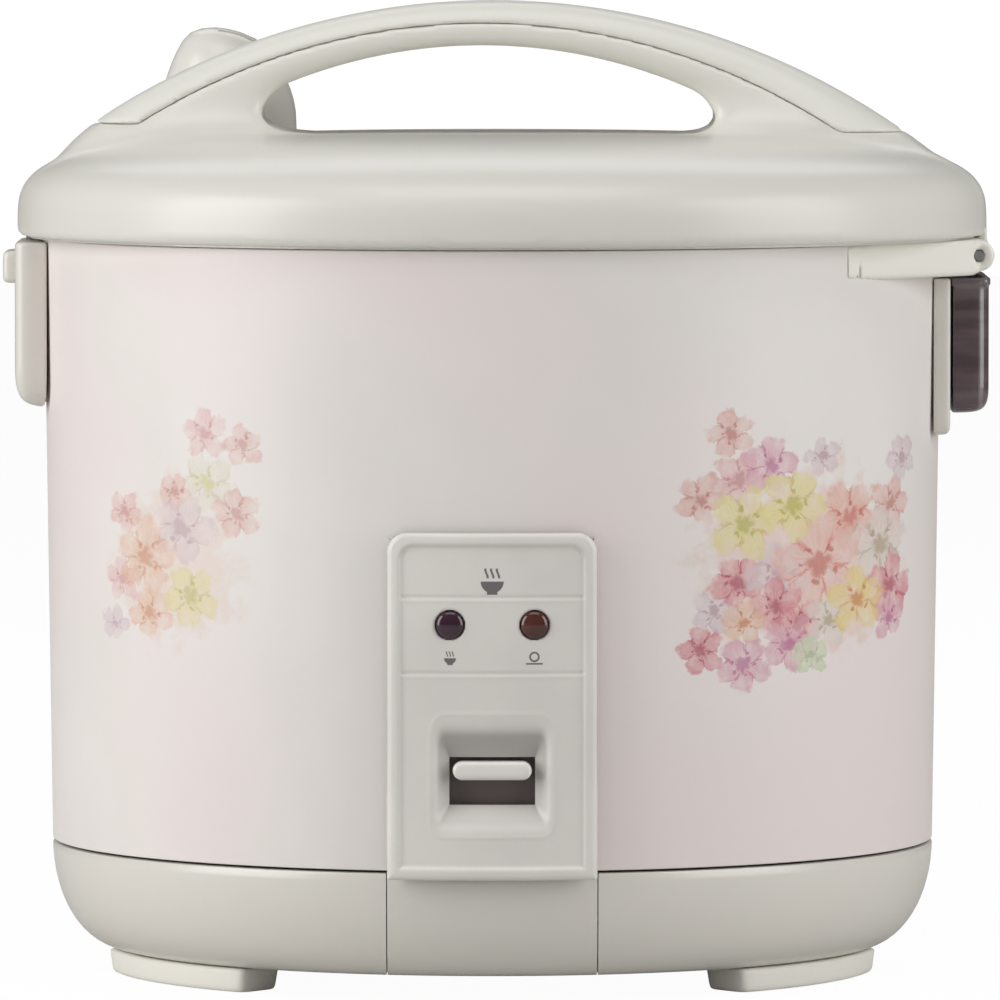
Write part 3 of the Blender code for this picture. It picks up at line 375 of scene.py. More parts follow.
def metal(name, colour, rough=0.3, kind="brushed", metallic=1.0):
    """Metal that is brushed along X, spun about Z, or plated."""
    made, tree, spot = new_material(name)
    x, y, z = tree.split(spot)
    if kind == "spun":
        line = tree.joined(length(x, y), z, 0.0)
        grain = tree.noise(tree.vector("MULTIPLY", line, (6.0, 6.0, 1.0)), 1.0, 3.0, 0.7)
    elif kind == "brushed":
        grain = tree.noise(tree.vector("MULTIPLY", spot, (0.08, 6.0, 6.0)), 1.0, 3.0, 0.7)
    else:
        grain = tree.noise(spot, 3.0, 3.0, 0.6)
    stain = tree.noise(spot, 0.05, 3.0, 0.6)
    share = (grain * 0.6 + stain * 0.4).ramp(0.3, 0.7)
    tint = tree.mix(share, tuple(c * 0.82 for c in colour), tuple(min(1.0, c * 1.1) for c in colour))
    uneven = rough + (grain - 0.5) * 0.2 + (stain - 0.5) * 0.15
    inputs = {"Base Color": tint, "Metallic": metallic, "Roughness": uneven}
    shaded(tree, inputs, grain, 0.12, 0.05)
    return made


def clear_plastic(name, colour, alpha, rough=0.06, rings=0.0, painted_highlight=False):
    """Tinted clear plastic with flow marks. Rings are a lens's steps, and the highlight option paints a highlight
    into the colour: a lighter band along a thick edge and a lighter top.
    """
    made, tree, spot = new_material(name)
    x, _, z = tree.split(spot)
    flow = tree.noise(tree.vector("MULTIPLY", spot, (0.05, 0.05, 0.3)), 1.0, 3.0, 0.5)
    tint = tree.mix(flow.ramp(0.3, 0.7), tuple(c * 0.8 for c in colour), tuple(c * 1.25 for c in colour))
    if painted_highlight:
        # painted highlight: a lighter band down the thick edge near x 145.3 mm and a lighter top above z 200 mm,
        # mixed into the colour
        band = (1.1 - abs(x - 145.3)).ramp(0.0, 0.9) * flow.ramp(0.3, 0.6, 0.6, 1.0)
        top_highlight = z.ramp(200.0, 207.0) * 0.45
        tint = tree.mix(band.most(top_highlight), tint, (0.26, 0.22, 0.235))
    height = flow
    if rings:
        side = length(abs(x) - LAMP_X, z - LAMP_Z)
        height = (side * rings).math("SINE") * 0.4 + flow * 0.2
    inputs = {"Base Color": tint, "Roughness": rough + flow * 0.05, "Alpha": alpha, "Coat Weight": 0.4,
              "Coat Roughness": 0.04, "IOR": 1.49}
    shaded(tree, inputs, height, 0.1, 0.2)
    return made


# ---------------------------------------------------------------- sizes taken from the frame

def size_of(node):
    low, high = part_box(node)
    return [v / MM for v in low], [v / MM for v in high]


LID_LOW, LID_HIGH = size_of("lid_shell")
LINER_HIGH = size_of("lid_liner")[1]
BODY_LOW, BODY_HIGH = size_of("outer_body")
RIM_LOW, RIM_HIGH = size_of("upper_rim")
BASE_LOW, BASE_HIGH = size_of("base_shell")
TOP_Z = CAD_HIGH.z / MM
LID_Z = RIM_HIGH[2] + 0.6  # underside of the closed lid
LID_H = 30.5  # the dome's rise
LID_R = (LID_HIGH[1] - LID_LOW[1]) / 2
LID_LEFT = -LID_LOW[0]
LID_RIGHT = 148.1
BODY_TOP_R = BODY_HIGH[0]
BODY_LOW_R = BODY_TOP_R - 2.5
HINGE_X, HINGE_Z = 144.5, 214.5
ARCH_R = 214.0  # the handle's outer line
ARCH_Z = TOP_Z - ARCH_R
LAMP_X, LAMP_Z = 12.2, 111.2
PANEL_R, PANEL_X, PANEL_LOW, PANEL_TOP = 138.0, 30.5, 37.0, 137.9
STEAM_X, STEAM_Y, STEAM_TOP = -80.0, 45.0, 280.8
STEAM_Z = size_of("steam_cap")[0][2]
INLET_LOW, INLET_HIGH = size_of("power_inlet")
BUTTON_Z = 210.4


class LidSizes(bpy.types.PropertyGroup):
    """Sizes of the lid and its handle."""

    grip_depth: bpy.props.FloatProperty(
        name="Handle depth", description="Width of the handle from front to back",
        default=0.0414, min=0.03, max=0.042, subtype="DISTANCE", unit="LENGTH")
    edge: bpy.props.FloatProperty(
        name="Handle edge", description="Softness of the handle's long edges",
        default=0.013, min=0.004, max=0.018, subtype="DISTANCE", unit="LENGTH")
    blend: bpy.props.FloatProperty(
        name="Leg blend", description="How widely the handle's legs flow into the lid",
        default=0.030, min=0.004, max=0.06, subtype="DISTANCE", unit="LENGTH")
    colour: bpy.props.FloatVectorProperty(
        name="Lid colour", description="Colour of the lid's plastic", subtype="COLOR",
        size=3, default=(0.80, 0.785, 0.725), min=0.0, max=1.0)
    cover_colour: bpy.props.FloatVectorProperty(
        name="Cover colour", description="Colour of the handle's upper half", subtype="COLOR",
        size=3, default=(0.84, 0.83, 0.765), min=0.0, max=1.0)


class BodySizes(bpy.types.PropertyGroup):
    """Colours of the body and its print."""

    colour: bpy.props.FloatVectorProperty(
        name="Body colour", description="Colour of the pearly sheet", subtype="COLOR",
        size=3, default=(0.865, 0.82, 0.785), min=0.0, max=1.0)
    base_colour: bpy.props.FloatVectorProperty(
        name="Base colour", description="Colour of the base and feet", subtype="COLOR",
        size=3, default=(0.935, 0.905, 0.83), min=0.0, max=1.0)
    print_strength: bpy.props.FloatProperty(
        name="Print strength", description="How strongly the blossoms are printed",
        default=1.0, min=0.0, max=1.0, subtype="FACTOR")


class PanelSizes(bpy.types.PropertyGroup):
    """Sizes of the control panel's relief."""

    sink: bpy.props.FloatProperty(
        name="Face depth", description="How far the face lies below its border",
        default=0.0007, min=0.0, max=0.002, subtype="DISTANCE", unit="LENGTH")
    recess: bpy.props.FloatProperty(
        name="Recess depth", description="Depth of the lever's recess",
        default=0.005, min=0.001, max=0.0065, subtype="DISTANCE", unit="LENGTH")
    colour: bpy.props.FloatVectorProperty(
        name="Panel colour", description="Colour of the panel's plastic", subtype="COLOR",
        size=3, default=(0.80, 0.765, 0.725), min=0.0, max=1.0)


# ---------------------------------------------------------------- lid and handle

def dome_distance(x, y, z):
    """Distance to the lid's dome: a stretched superellipse of the fourth power."""
    side = x.over(0.0)
    reach = LID_LEFT + side * (LID_RIGHT - LID_LEFT)
    r = length(x * LID_R / reach, y)
    h = abs(z - LID_Z)
    rr, hh = r / LID_R, h / LID_H
    level = (rr ** 4 + hh ** 4).root().root().most(0.05)
    slope = length(rr ** 3 / LID_R, hh ** 3 / LID_H) / level ** 3
    return (level - 1.0) / slope.most(0.002)


def hole_distance(x, z):
    """Distance to the gap under the grip: an arched slot with rounded ends."""
    end = 8.5
    under = length(x + 3.0, z - 121.6) - (155.0 - end)
    left, right = -61.5 - x, x - 59.5
    floor = 256.4 - x * 0.015 - z
    side = left.most(right)
    roof, foot = under.most(0.0), floor.most(0.0)
    outside = (side.most(0.0) ** 2 + roof ** 2 + foot ** 2).root()
    inside = under.most(side).most(floor).least(0.0)
    return outside + inside - end


def lid_distance(x, y, z, depth, edge, blend):
    """The dome with the handle's arch grown out of it, with both halves of the handle."""
    half = depth / 2
    across = abs(y)
    arch = length(x, z - ARCH_Z) - ARCH_R + (y / half) ** 2 * 0.9
    walls = across - half
    solid = arch.most(walls, edge)
    solid = solid.most(-hole_distance(x, z), edge * 0.6)
    left = (-LID_LEFT + 0.8 - x)
    right = (x - LID_RIGHT + 1.0)
    solid = solid.most(left, 34.0).most(right, 12.0)
    along = abs(x)
    width = across.ramp(9.0, 22.0, blend * 0.2, blend)
    width = width * along.ramp(50.0, 84.0, 0.18, 1.0) * along.ramp(92.0, 130.0, 1.0, 0.3)
    joined = dome_distance(x, y, z).least(solid, width)
    reach = LID_LEFT + x.over(0.0) * (LID_RIGHT - LID_LEFT)
    plan = length(x * LID_R / reach, y) - LID_R
    return joined.most(plan, 1.0)


def cover_distance(x, z):
    """Below zero above the seam between the handle's cover and its lower half."""
    circle = 190.0 - length(x + 3.0, z - 93.2)
    flat = 253.2 - x.over(0.0) * 2.4 - z
    return circle.most(flat)


class RICE_OT_lid(bpy.types.Operator):
    """Build the lid with the lower half of its handle, the handle's cover and the hinge knuckle"""

    bl_idname = "rice.lid"
    bl_label = "Lid and handle"

    def execute(self, context):
        sizes = context.scene.rice_lid
        depth, edge, blend = sizes.grip_depth / MM, sizes.edge / MM, sizes.blend / MM
        plastic = moulded("lid_plastic", tuple(sizes.colour), 0.33, 0.12, 0.05)
        cover = moulded("cover_plastic", tuple(sizes.cover_colour), 0.42, 0.08, 0.08)

        def shell(tree, x, y, z):
            whole = lid_distance(x, y, z, depth, edge, blend)
            hollow = (length(x, y) - LINER_HIGH[1] - 0.4).most(z - LINER_HIGH[2] - 0.3)
            vent = length(x - STEAM_X, y - STEAM_Y) - 11.5
            solid = whole.most(LID_Z + 0.1 - z, 2.4).most(-hollow, 0.4)
            solid = solid.most(-0.1 - cover_distance(x, z), 1.2)
            return solid.most(-vent, 1.0)

        def upper(tree, x, y, z):
            whole = lid_distance(x, y, z, depth, edge, blend)
            return whole.most(cover_distance(x, z) + 0.1, 1.2)

        low = (-LID_LEFT - 4, -LID_R - 4, LID_Z - 3)
        high = (LID_RIGHT + 4, LID_R + 4, TOP_Z + 4)
        cell = 1.55
        piece = soft_solid("lid_with_handle", shell, low, high, cell, plastic)
        placed(piece, "lid", "lid_plastic", "lid_shell")
        low, high = (-126, -depth / 2 - 4, 244), (130, depth / 2 + 4, TOP_Z + 4)
        piece = soft_solid("handle_cover", upper, low, high, cell * 0.62, cover)
        placed(piece, "lid", "handle_plastic", "handle_cap")

        def knuckle(tree, x, y, z):
            barrel = length(x - HINGE_X, z - HINGE_Z) - 4.7
            web = (x - LID_RIGHT + 0.4).most(HINGE_X + 0.4 - x).most(HINGE_Z - z).most(z - LID_Z - 3.0)
            solid = barrel.least(web, 1.5).most(abs(y) - 13.1, 1.2)
            return solid.most(1.7 - length(x - HINGE_X, z - HINGE_Z), 0.4)

        low = (HINGE_X - 7, -16, HINGE_Z - 7)
        piece = soft_solid("lid_knuckle", knuckle, low, (150.5, 16, LID_Z + 5), 0.45, plastic)
        placed(piece, "lid", "lid_plastic")
        return {"FINISHED"}


class RICE_OT_steam_cap(bpy.types.Operator):
    """Build the leaning hood over the steam duct, with three slots on its top"""

    bl_idname = "rice.steam_cap"
    bl_label = "Steam cap"

    def execute(self, context):
        low, top = STEAM_Z, STEAM_TOP
        steps = ((0.0, 0.0), (4.0, 0.4), (8.0, 1.4), (11.5, 3.2), (14.0, 6.0), (16.0, 9.6), (17.5, 13.0),
                 (18.8, 16.4), (19.8, 20.0), (20.4, 24.0), (20.6, 30.0))
        outer = [(r, top - d) for r, d in steps]
        outer += [(20.6, low), (18.4, low)]
        inner = [(max(0.0, r * 0.89), top - d - 2.4) for r, d in steps[:-1]]
        piece = turned("steam_hood", outer + inner[::-1], bpy.data.materials["lid_plastic"], 96,
                       centre=(STEAM_X, STEAM_Y), angle=50)
        cutters = [block(STEAM_X - 3, STEAM_X + 9, STEAM_Y + 6 * k - 1.1, STEAM_Y + 6 * k + 1.1, 268, 292)
                   for k in (-1, 0, 1)]
        for vert in piece.data.vertices:
            away = (vert.co.x / MM - STEAM_X) * (vert.co.z / MM - low) / (top - low)
            vert.co.z -= 0.2 * away * MM
        reach = (LID_LEFT / LID_R)
        dome = [(LID_R * sin(pi / 2 * k / 24) ** 0.5 + 0.5, LID_Z + LID_H * cos(pi / 2 * k / 24) ** 0.5 + 0.5)
                for k in range(25)]
        dome = [(0.0, dome[0][1])] + dome[1:] + [(LID_R + 0.5, 180.0), (0.0, 180.0)]
        hump = turned("cutter", dome, bpy.data.materials["lid_plastic"], 128, (reach, LID_RIGHT / LID_R))
        cut_by(piece, cutters + [hump])
        placed(piece, "steam_cap", "steam_plastic", "steam_cap")
        return {"FINISHED"}


# ---------------------------------------------------------------- body, rim, base, feet

# Blossoms of the print: distance round the drum from its front, height, half width, half height, turn, kind.
BLOSSOMS_RIGHT = (
    (72.6, 165.5, 7.6, 6.0, 0.3, "rose"), (62.5, 146.6, 7.4, 6.6, 1.2, "rose"),
    (150.2, 156.0, 9.0, 6.0, 0.2, "lilac"), (107.8, 157.8, 7.0, 5.0, 0.9, "lilac"),
    (75.4, 152.1, 8.2, 7.0, 0.1, "pink"), (86.9, 155.5, 9.6, 7.6, 0.5, "mauve"),
    (120.7, 139.7, 13.0, 9.6, 0.7, "coral"), (143.3, 142.5, 10.8, 7.2, 0.0, "rose"),
    (137.0, 131.0, 15.0, 9.6, 0.4, "white"), (67.5, 114.0, 7.4, 6.0, 0.6, "lilac"),
    (75.4, 121.9, 8.6, 7.0, 0.2, "crimson"), (90.7, 124.3, 11.5, 9.0, 0.8, "lilac"),
    (106.9, 126.5, 17.0, 12.2, 0.35, "scarlet"), (143.9, 118.2, 12.6, 8.6, 0.5, "crimson"),
    (143.3, 109.2, 9.0, 5.6, 1.0, "mauve"), (89.9, 114.4, 9.0, 7.0, 0.9, "crimson"),
    (98.5, 109.4, 9.0, 6.6, 0.2, "crimson"), (94.6, 103.4, 9.6, 6.8, 0.6, "mauve"),
    (111.3, 109.6, 9.6, 6.4, 0.0, "white"), (77.8, 110.1, 7.0, 5.6, 0.5, "peach"),
    (63.2, 102.5, 6.8, 6.0, 0.9, "crimson"), (77.8, 97.7, 8.6, 7.0, 0.15, "mauve"),
    (103.5, 99.5, 7.0, 4.8, 0.4, "leaf"), (77.8, 139.4, 11.4, 9.6, 0.55, "yellow"),
    (95.7, 144.1, 11.8, 9.2, 0.1, "yellow"), (124.7, 115.2, 12.6, 8.4, 0.4, "gold"),
)
BLOSSOMS_LEFT = (
    (-90.5, 165.0, 8.0, 6.4, 0.4, "pink"), (-76.6, 161.7, 6.4, 5.4, 0.9, "rose"),
    (-89.4, 150.5, 9.4, 7.6, 0.2, "cream"), (-102.5, 147.7, 5.6, 5.2, 0.7, "rose"),
    (-78.7, 142.1, 7.6, 6.2, 0.3, "rose"), (-99.6, 137.0, 11.5, 8.8, 0.6, "lilac"),
    (-125.6, 140.9, 7.4, 5.4, 0.1, "rose"), (-113.4, 111.6, 9.0, 6.4, 0.8, "peach"),
    (-127.2, 120.9, 8.0, 5.8, 0.4, "pink"), (-131.6, 107.8, 6.4, 4.8, 0.0, "lilac"),
    (-115.7, 128.2, 12.4, 9.8, 0.5, "peach"), (-96.4, 117.3, 9.8, 8.0, 0.2, "yellow"),
)
INKS = {  # petal, shadow and heart of each kind of blossom
    "rose": ((0.80, 0.52, 0.46), (0.62, 0.27, 0.25), (0.55, 0.22, 0.20)),
    "pink": ((0.80, 0.52, 0.50), (0.66, 0.30, 0.33), (0.60, 0.28, 0.30)),
    "mauve": ((0.76, 0.48, 0.53), (0.58, 0.20, 0.34), (0.50, 0.14, 0.30)),
    "lilac": ((0.74, 0.62, 0.64), (0.60, 0.44, 0.50), (0.50, 0.34, 0.38)),
    "white": ((0.78, 0.72, 0.66), (0.56, 0.46, 0.40), (0.46, 0.36, 0.22)),
    "cream": ((0.78, 0.74, 0.62), (0.60, 0.54, 0.40), (0.62, 0.60, 0.16)),
    "yellow": ((0.82, 0.74, 0.36), (0.66, 0.50, 0.20), (0.50, 0.46, 0.08)),
    "gold": ((0.84, 0.68, 0.30), (0.70, 0.44, 0.18), (0.62, 0.22, 0.06)),
    "coral": ((0.80, 0.50, 0.42), (0.70, 0.25, 0.20), (0.62, 0.16, 0.14)),
    "scarlet": ((0.82, 0.58, 0.52), (0.74, 0.24, 0.20), (0.58, 0.16, 0.12)),
    "crimson": ((0.74, 0.34, 0.36), (0.56, 0.10, 0.17), (0.44, 0.08, 0.12)),
    "peach": ((0.82, 0.56, 0.42), (0.68, 0.32, 0.18), (0.62, 0.22, 0.08)),
    "leaf": ((0.66, 0.72, 0.52), (0.50, 0.58, 0.40), (0.40, 0.48, 0.28)),
}


def blossom_group():
    """Shader group for one five-petalled blossom in loose watercolour."""
    group = bpy.data.node_groups.new("blossom", "ShaderNodeTree")
    face = group.interface
    kinds = {"Ground": "Color", "Along": "Float", "Up": "Float", "Turn": "Float", "Wash": "Float",
             "Petal": "Color", "Shadow": "Color", "Heart": "Color", "Strength": "Float"}
    for label, kind in kinds.items():
        face.new_socket(label, in_out="INPUT", socket_type=f"NodeSocket{kind}")
    face.new_socket("Print", in_out="OUTPUT", socket_type="NodeSocketColor")
    tree = Tree(group)
    given = tree.make("NodeGroupInput", None, None, None)
    ground, u, v, turn, wash, petal, shadow, heart, strength = [Value(tree, s) for s in given.outputs[:9]]
    radius = length(u, v)
    angle = v.math("ARCTAN2", u) + turn
    lobe = abs((angle * 2.5).math("COSINE"))
    edge = 0.50 + lobe ** 0.55 * 0.46 + (wash - 0.5) * 0.5
    t = radius / edge.most(0.1)
    inside = t.ramp(0.84, 1.02, 1.0, 0.0)
    rim = t.ramp(0.62, 0.95) * inside
    fold = lobe.ramp(0.0, 0.42, 1.0, 0.0) * t.ramp(0.15, 0.5) * inside
    vein = abs((angle * 12.5 + wash * 6.0).math("SINE")) ** 3 * t.ramp(0.9, 0.25) * inside
    shade = (rim * 0.32 * wash.ramp(0.40, 0.62) + fold * 0.75 + vein * 0.30 * wash.ramp(0.3, 0.6)).least(1.0)
    body = (inside * (0.34 + wash.ramp(0.25, 0.7) * 0.62)).least(1.0)
    out = tree.mix(body * strength, ground, petal)
    out = tree.mix(shade * strength, out, shadow)
    core = t.ramp(0.16, 0.34, 1.0, 0.0)
    dots = radius.ramp(0.26, 0.32) * radius.ramp(0.36, 0.42, 1.0, 0.0)
    dots = dots * (angle * 4.5).math("SINE").ramp(0.55, 0.85)
    out = tree.mix((core * 0.75 + dots * 0.8).least(1.0) * strength, out, heart)
    tree.make("NodeGroupOutput", None, {0: out}, None)
    return group


def pearl(colour, strength):
    """Pearly painted sheet with two printed sprays of blossom."""
    made, tree, spot = new_material("pearl_sheet")
    x, y, z = tree.split(spot)
    around = x.math("ARCTAN2", -y) * 133.2
    cloud = tree.noise(spot, 0.018, 3.0, 0.55)
    fleck = tree.noise(spot, 5.0, 1.0, 0.5)
    mica = tree.make("ShaderNodeTexVoronoi", {"feature": "F1"}, {"Vector": spot, "Scale": 4.0})
    dark, light = tuple(c * 0.975 for c in colour), tuple(min(1, c * 1.02) for c in colour)
    ground = tree.mix(cloud.ramp(0.3, 0.7), dark, light)
    blush = tree.noise(spot, 0.008, 2.0, 0.5)
    tinted = (colour[0] * 1.01, colour[1] * 0.965, colour[2] * 0.985)
    ground = tree.mix(blush.ramp(0.4, 0.62), ground, tinted)
    ground = tree.mix(fleck.ramp(0.35, 0.75, 0.0, 0.10), ground, (0.9, 0.88, 0.86))
    flat = tree.joined(around, z, 0.0)
    paint = tree.noise(flat, 0.16, 4.0, 0.62)
    wobble = tree.noise(flat, 0.22, 3.0, 0.55, 1)
    parts = tree.make("ShaderNodeSeparateColor", None, {0: wobble}, None)
    dx, dz = [(Value(tree, socket) - 0.5) * 5.0 for socket in parts.outputs[:2]]
    group = blossom_group()
    out = ground
    spray = tree.noise(flat, 0.11, 3.0, 0.6)
    for middle, reach, tone, amount in ((104.0, (48.0, 31.0), (0.84, 0.52, 0.47), 0.80),
                                        (-103.0, (28.0, 28.0), (0.84, 0.60, 0.52), 0.55)):
        side = length((around - middle) / reach[0], (z - 128.0 + abs(around - middle) * 0.05) / reach[1])
        mask = (side + (spray - 0.5) * 1.5).ramp(0.62, 1.0, 1.0, 0.0)
        tint = tree.mix(paint.ramp(0.35, 0.65), tone, (0.80, 0.72, 0.62))
        out = tree.mix(mask * amount * strength * paint.ramp(0.3, 0.6, 0.45, 1.0), out, tint)
    for blossoms, amount in ((BLOSSOMS_RIGHT, 0.92), (BLOSSOMS_LEFT, 0.66)):
        for along, up, wide, tall, turn, kind in blossoms:
            u = (around + dx - along) / (wide * 1.28)
            v = (z + dz - up) / (tall * 1.30)
            node = tree.nodes.new("ShaderNodeGroup")
            node.node_tree = group
            values = {"Ground": out, "Along": u, "Up": v, "Turn": turn * 2.2, "Wash": paint,
                      "Petal": (*INKS[kind][0], 1.0), "Shadow": (*INKS[kind][1], 1.0),
                      "Heart": (*INKS[kind][2], 1.0), "Strength": amount * strength}
            for key, value in values.items():
                if isinstance(value, Value):
                    tree.links.new(value.socket, node.inputs[key])
                else:
                    node.inputs[key].default_value = value
            out = Value(tree, node.outputs[0])
    gloss = 0.46 + (cloud - 0.5) * 0.08 + (fleck - 0.5) * 0.05
    relief = tree.noise(spot, 0.5, 3.0, 0.6) + mica * 0.05
    values = {"Height": relief, "Strength": 0.04, "Distance": 0.06 * MM}
    normal = tree.make("ShaderNodeBump", None, values)
    skins = []
    for colouring in (ground, out):
        inputs = {"Base Color": colouring, "Roughness": gloss, "Coat Weight": 0.08, "Coat Roughness": 0.3,
                  "Metallic": fleck.ramp(0.55, 0.75, 0.0, 0.06), "Specular IOR Level": 0.28, "Normal": normal}
        skins.append(tree.make("ShaderNodeBsdfPrincipled", None, inputs))
    inside = (60.0 - abs(abs(around) - 104.0)).over(0.0) * (44.0 - abs(z - 130.0)).over(0.0)
    end(tree, tree.make("ShaderNodeMixShader", None, {0: inside, 1: skins[0], 2: skins[1]}))
    return made


class RICE_OT_body(bpy.types.Operator):
    """Build the printed drum and the rim with its hinge ledge"""

    bl_idname = "rice.body"
    bl_label = "Body and rim"

    def execute(self, context):
        sizes = context.scene.rice_body
        paint = pearl(tuple(sizes.colour), sizes.print_strength)
        low, high = BODY_LOW[2] + 0.05, RIM_HIGH[2] - 0.2
        corners = [(BODY_TOP_R, high), (BODY_LOW_R, low), (BODY_LOW_R - 0.9, low), (BODY_TOP_R - 0.9, high)]
        profile = rounded_outline(corners, (0.5, 0.5, 0, 0))
        piece = turned("drum", profile[::-1], paint, 256)
        wide = PANEL_X - 2.4
        gap = INLET_HIGH[0] - 2.6
        cutters = [block(-wide, wide, -145, -100, 30, PANEL_TOP - 3.0),
                   block(-gap, gap, 100, 150, INLET_LOW[2] + 2.6, INLET_HIGH[2] - 2.6)]
        cut_by(piece, cutters)
        placed(piece, "body", "body_steel", "outer_body")

        cream = moulded("base_plastic", tuple(sizes.base_colour), 0.36, 0.12, 0.06)
        low, high = RIM_LOW[2] + 0.3, RIM_HIGH[2]
        ring_low = high - 4.6

        def rim(tree, x, y, z):
            r = length(x, y)
            across = abs(y)
            ring = (r - BODY_TOP_R + 1.2).most(121.0 - r).most(ring_low - z, 1.0)
            slant = x * 0.775 + across * 0.632 - 134.9
            ledge = slant.most(x - HINGE_X + 0.2, 5.0).most(104.0 - x)
            ledge = ledge.most(low - z, 2.4).most(BODY_TOP_R - 0.6 - r)
            axle = length(x - HINGE_X, z - HINGE_Z)
            barrels = (axle - 4.7).most(across - 33.8, 1.0)
            solid = ring.least(ledge, 3.0).least(barrels, 1.0)
            slot = (axle - 6.9).most(across - 13.9)
            notch = (x + 131.5).most(across - 9.0)
            return solid.most(z - high, 1.2).most(-slot, 0.5).most(-notch, 0.5).most(1.8 - axle, 0.3)

        corner = (-BODY_TOP_R - 3, -BODY_TOP_R - 3, low - 2)
        piece = soft_solid("rim_and_ledge", rim, corner, (152, BODY_TOP_R + 3, high + 2), 0.95, cream)
        placed(piece, "body", "base_plastic", "upper_rim")
        return {"FINISHED"}


class RICE_OT_base(bpy.types.Operator):
    """Build the base bowl, its front strip and the four feet"""

    bl_idname = "rice.base"
    bl_label = "Base and feet"

    def execute(self, context):
        cream = bpy.data.materials["base_plastic"]
        low, high = BASE_LOW[2], BASE_HIGH[2]
        flat, hole, wall = 112.0, 84.0, 2.6
        wide, tall = BODY_LOW_R - flat, high - low
        outer = [(flat + wide * cos(pi / 2 * k / 16), high - tall * sin(pi / 2 * k / 16)) for k in range(17)]
        inner = [(flat + (wide - wall) * cos(pi / 2 * k / 12), high - (tall - wall) * sin(pi / 2 * k / 12))
                 for k in range(13)]
        edge = [(outer[0][0] - 1.2, high), (outer[0][0] - 0.4, high - 0.25), (outer[0][0], high - 1.0)]
        profile = edge + outer[1:] + [(hole, low), (hole, low + wall)] + inner[::-1]
        bowls = [turned(name, profile, cream, 256, angle=40) for name in ("base_bowl", "base_strip")]
        half = PANEL_X + 0.3
        cut_by(bowls[0], [block(-half, half, -150, -99.7, 0, 45)])
        cut_by(bowls[1], [block(-PANEL_X, PANEL_X, -150, -100, 0, 45)], "INTERSECT")
        placed(bowls[0], "body", "base_plastic", "base_shell")
        placed(bowls[1], "body", "base_plastic", "base_front_strip")

        def feet(tree, x, y, z):
            along, across = abs(x), abs(y)
            r = length(x, y)
            shrink = (7.2 - z) * 0.12
            ring = (r - 116.0 + shrink).most(98.0 - r + shrink, 4.0)
            first = across * -cos(radians(8)) + along * sin(radians(8)) + shrink
            last = across * cos(radians(51)) - along * sin(radians(51)) + shrink
            solid = ring.most(first, 5.0).most(last, 5.0)
            return solid.most(-z, 1.8).most(z - 7.1, 0.6)

        rubber = moulded("foot_plastic", (0.93, 0.90, 0.83), 0.5, 0.02, 0.12)
        piece = soft_solid("feet", feet, (-119, -119, -1.5), (119, 119, 9), 0.8, rubber)
        names = [f"foot_{end}_{side}" for end in ("front", "rear") for side in ("left", "right")]
        placed(piece, "body", "foot_plastic", *names)
        return {"FINISHED"}


# ---------------------------------------------------------------- control panel

def box_distance(u, v, half_u, half_v, corner):
    """Distance to a rectangle with rounded corners, on arrays."""
    du, dv = np.abs(u) - half_u + corner, np.abs(v) - half_v + corner
    return np.hypot(np.maximum(du, 0), np.maximum(dv, 0)) + np.minimum(np.maximum(du, dv), 0) - corner


def eased(values, start, end):
    t = np.clip((values - start) / (end - start), 0.0, 1.0)
    return t * t * (3 - 2 * t)


def panel_print(colour):
    """The panel's plastic with its small printed signs: a steaming bowl, and one sign under each lamp, and painted
    shade darkening the lever's recess, most at its upper part.
    """
    made, tree, spot = new_material("panel_plastic")
    x, y, z = tree.split(spot)
    cloud = tree.noise(spot, 0.03, 3.0, 0.55)
    fine = tree.noise(spot, 2.6, 2.0, 0.6)
    dark, light = tuple(c * 0.965 for c in colour), tuple(min(1, c * 1.03) for c in colour)
    tint = tree.mix(cloud.ramp(0.3, 0.7), dark, light)
    tint = tree.mix(fine.ramp(0.3, 0.8, 0.0, 0.08), tint, (0.6, 0.56, 0.52))

    def bowl(cx, cz, size):
        u, v = x - cx, z - cz
        cup = (length(u, v) - size).most(v)
        foot = (abs(u) - size * 0.45).most(abs(v + size * 1.02) - size * 0.12)
        mark = cup.least(foot)
        for k in (-1, 0, 1):
            wave = abs(u - k * size * 0.5 - (v * (4.4 / size)).math("SINE") * size * 0.10)
            steam = (wave - size * 0.09).most(abs(v - size * 0.72) - size * 0.42)
            mark = mark.least(steam)
        return mark

    marks = bowl(0.0, 123.8, 3.3)
    marks = marks.least(bowl(-LAMP_X, 101.6, 1.7))
    u, v = x - LAMP_X, z - 102.0
    ring = abs(length(u, v) - 1.25) - 0.24
    dash = (abs(u) - 2.4).most(abs(v + 2.0) - 0.22)
    marks = marks.least(ring).least(dash)
    front = y.ramp(-130.0, -130.5)
    # painted shade: darkens the colour where the surface sinks into the lever's recess, more towards the recess's
    # top
    deep = (137.1 - length(x, y)).ramp(0.0, 1.5)
    shade = deep * z.ramp(58.0, 76.0, 0.26, 0.62)
    tint = tree.mix(shade, tint, tuple(c * 0.35 for c in colour))
    ink = marks.ramp(0.12, -0.06) * front
    tint = tree.mix(ink * 0.86, tint, (0.07, 0.065, 0.075))
    uneven = 0.34 + (cloud - 0.5) * 0.1 + (fine - 0.5) * 0.1
    inputs = {"Base Color": tint, "Roughness": uneven, "Coat Weight": 0.15, "Coat Roughness": 0.2}
    shaded(tree, inputs, fine, 0.05, 0.1)
    return made


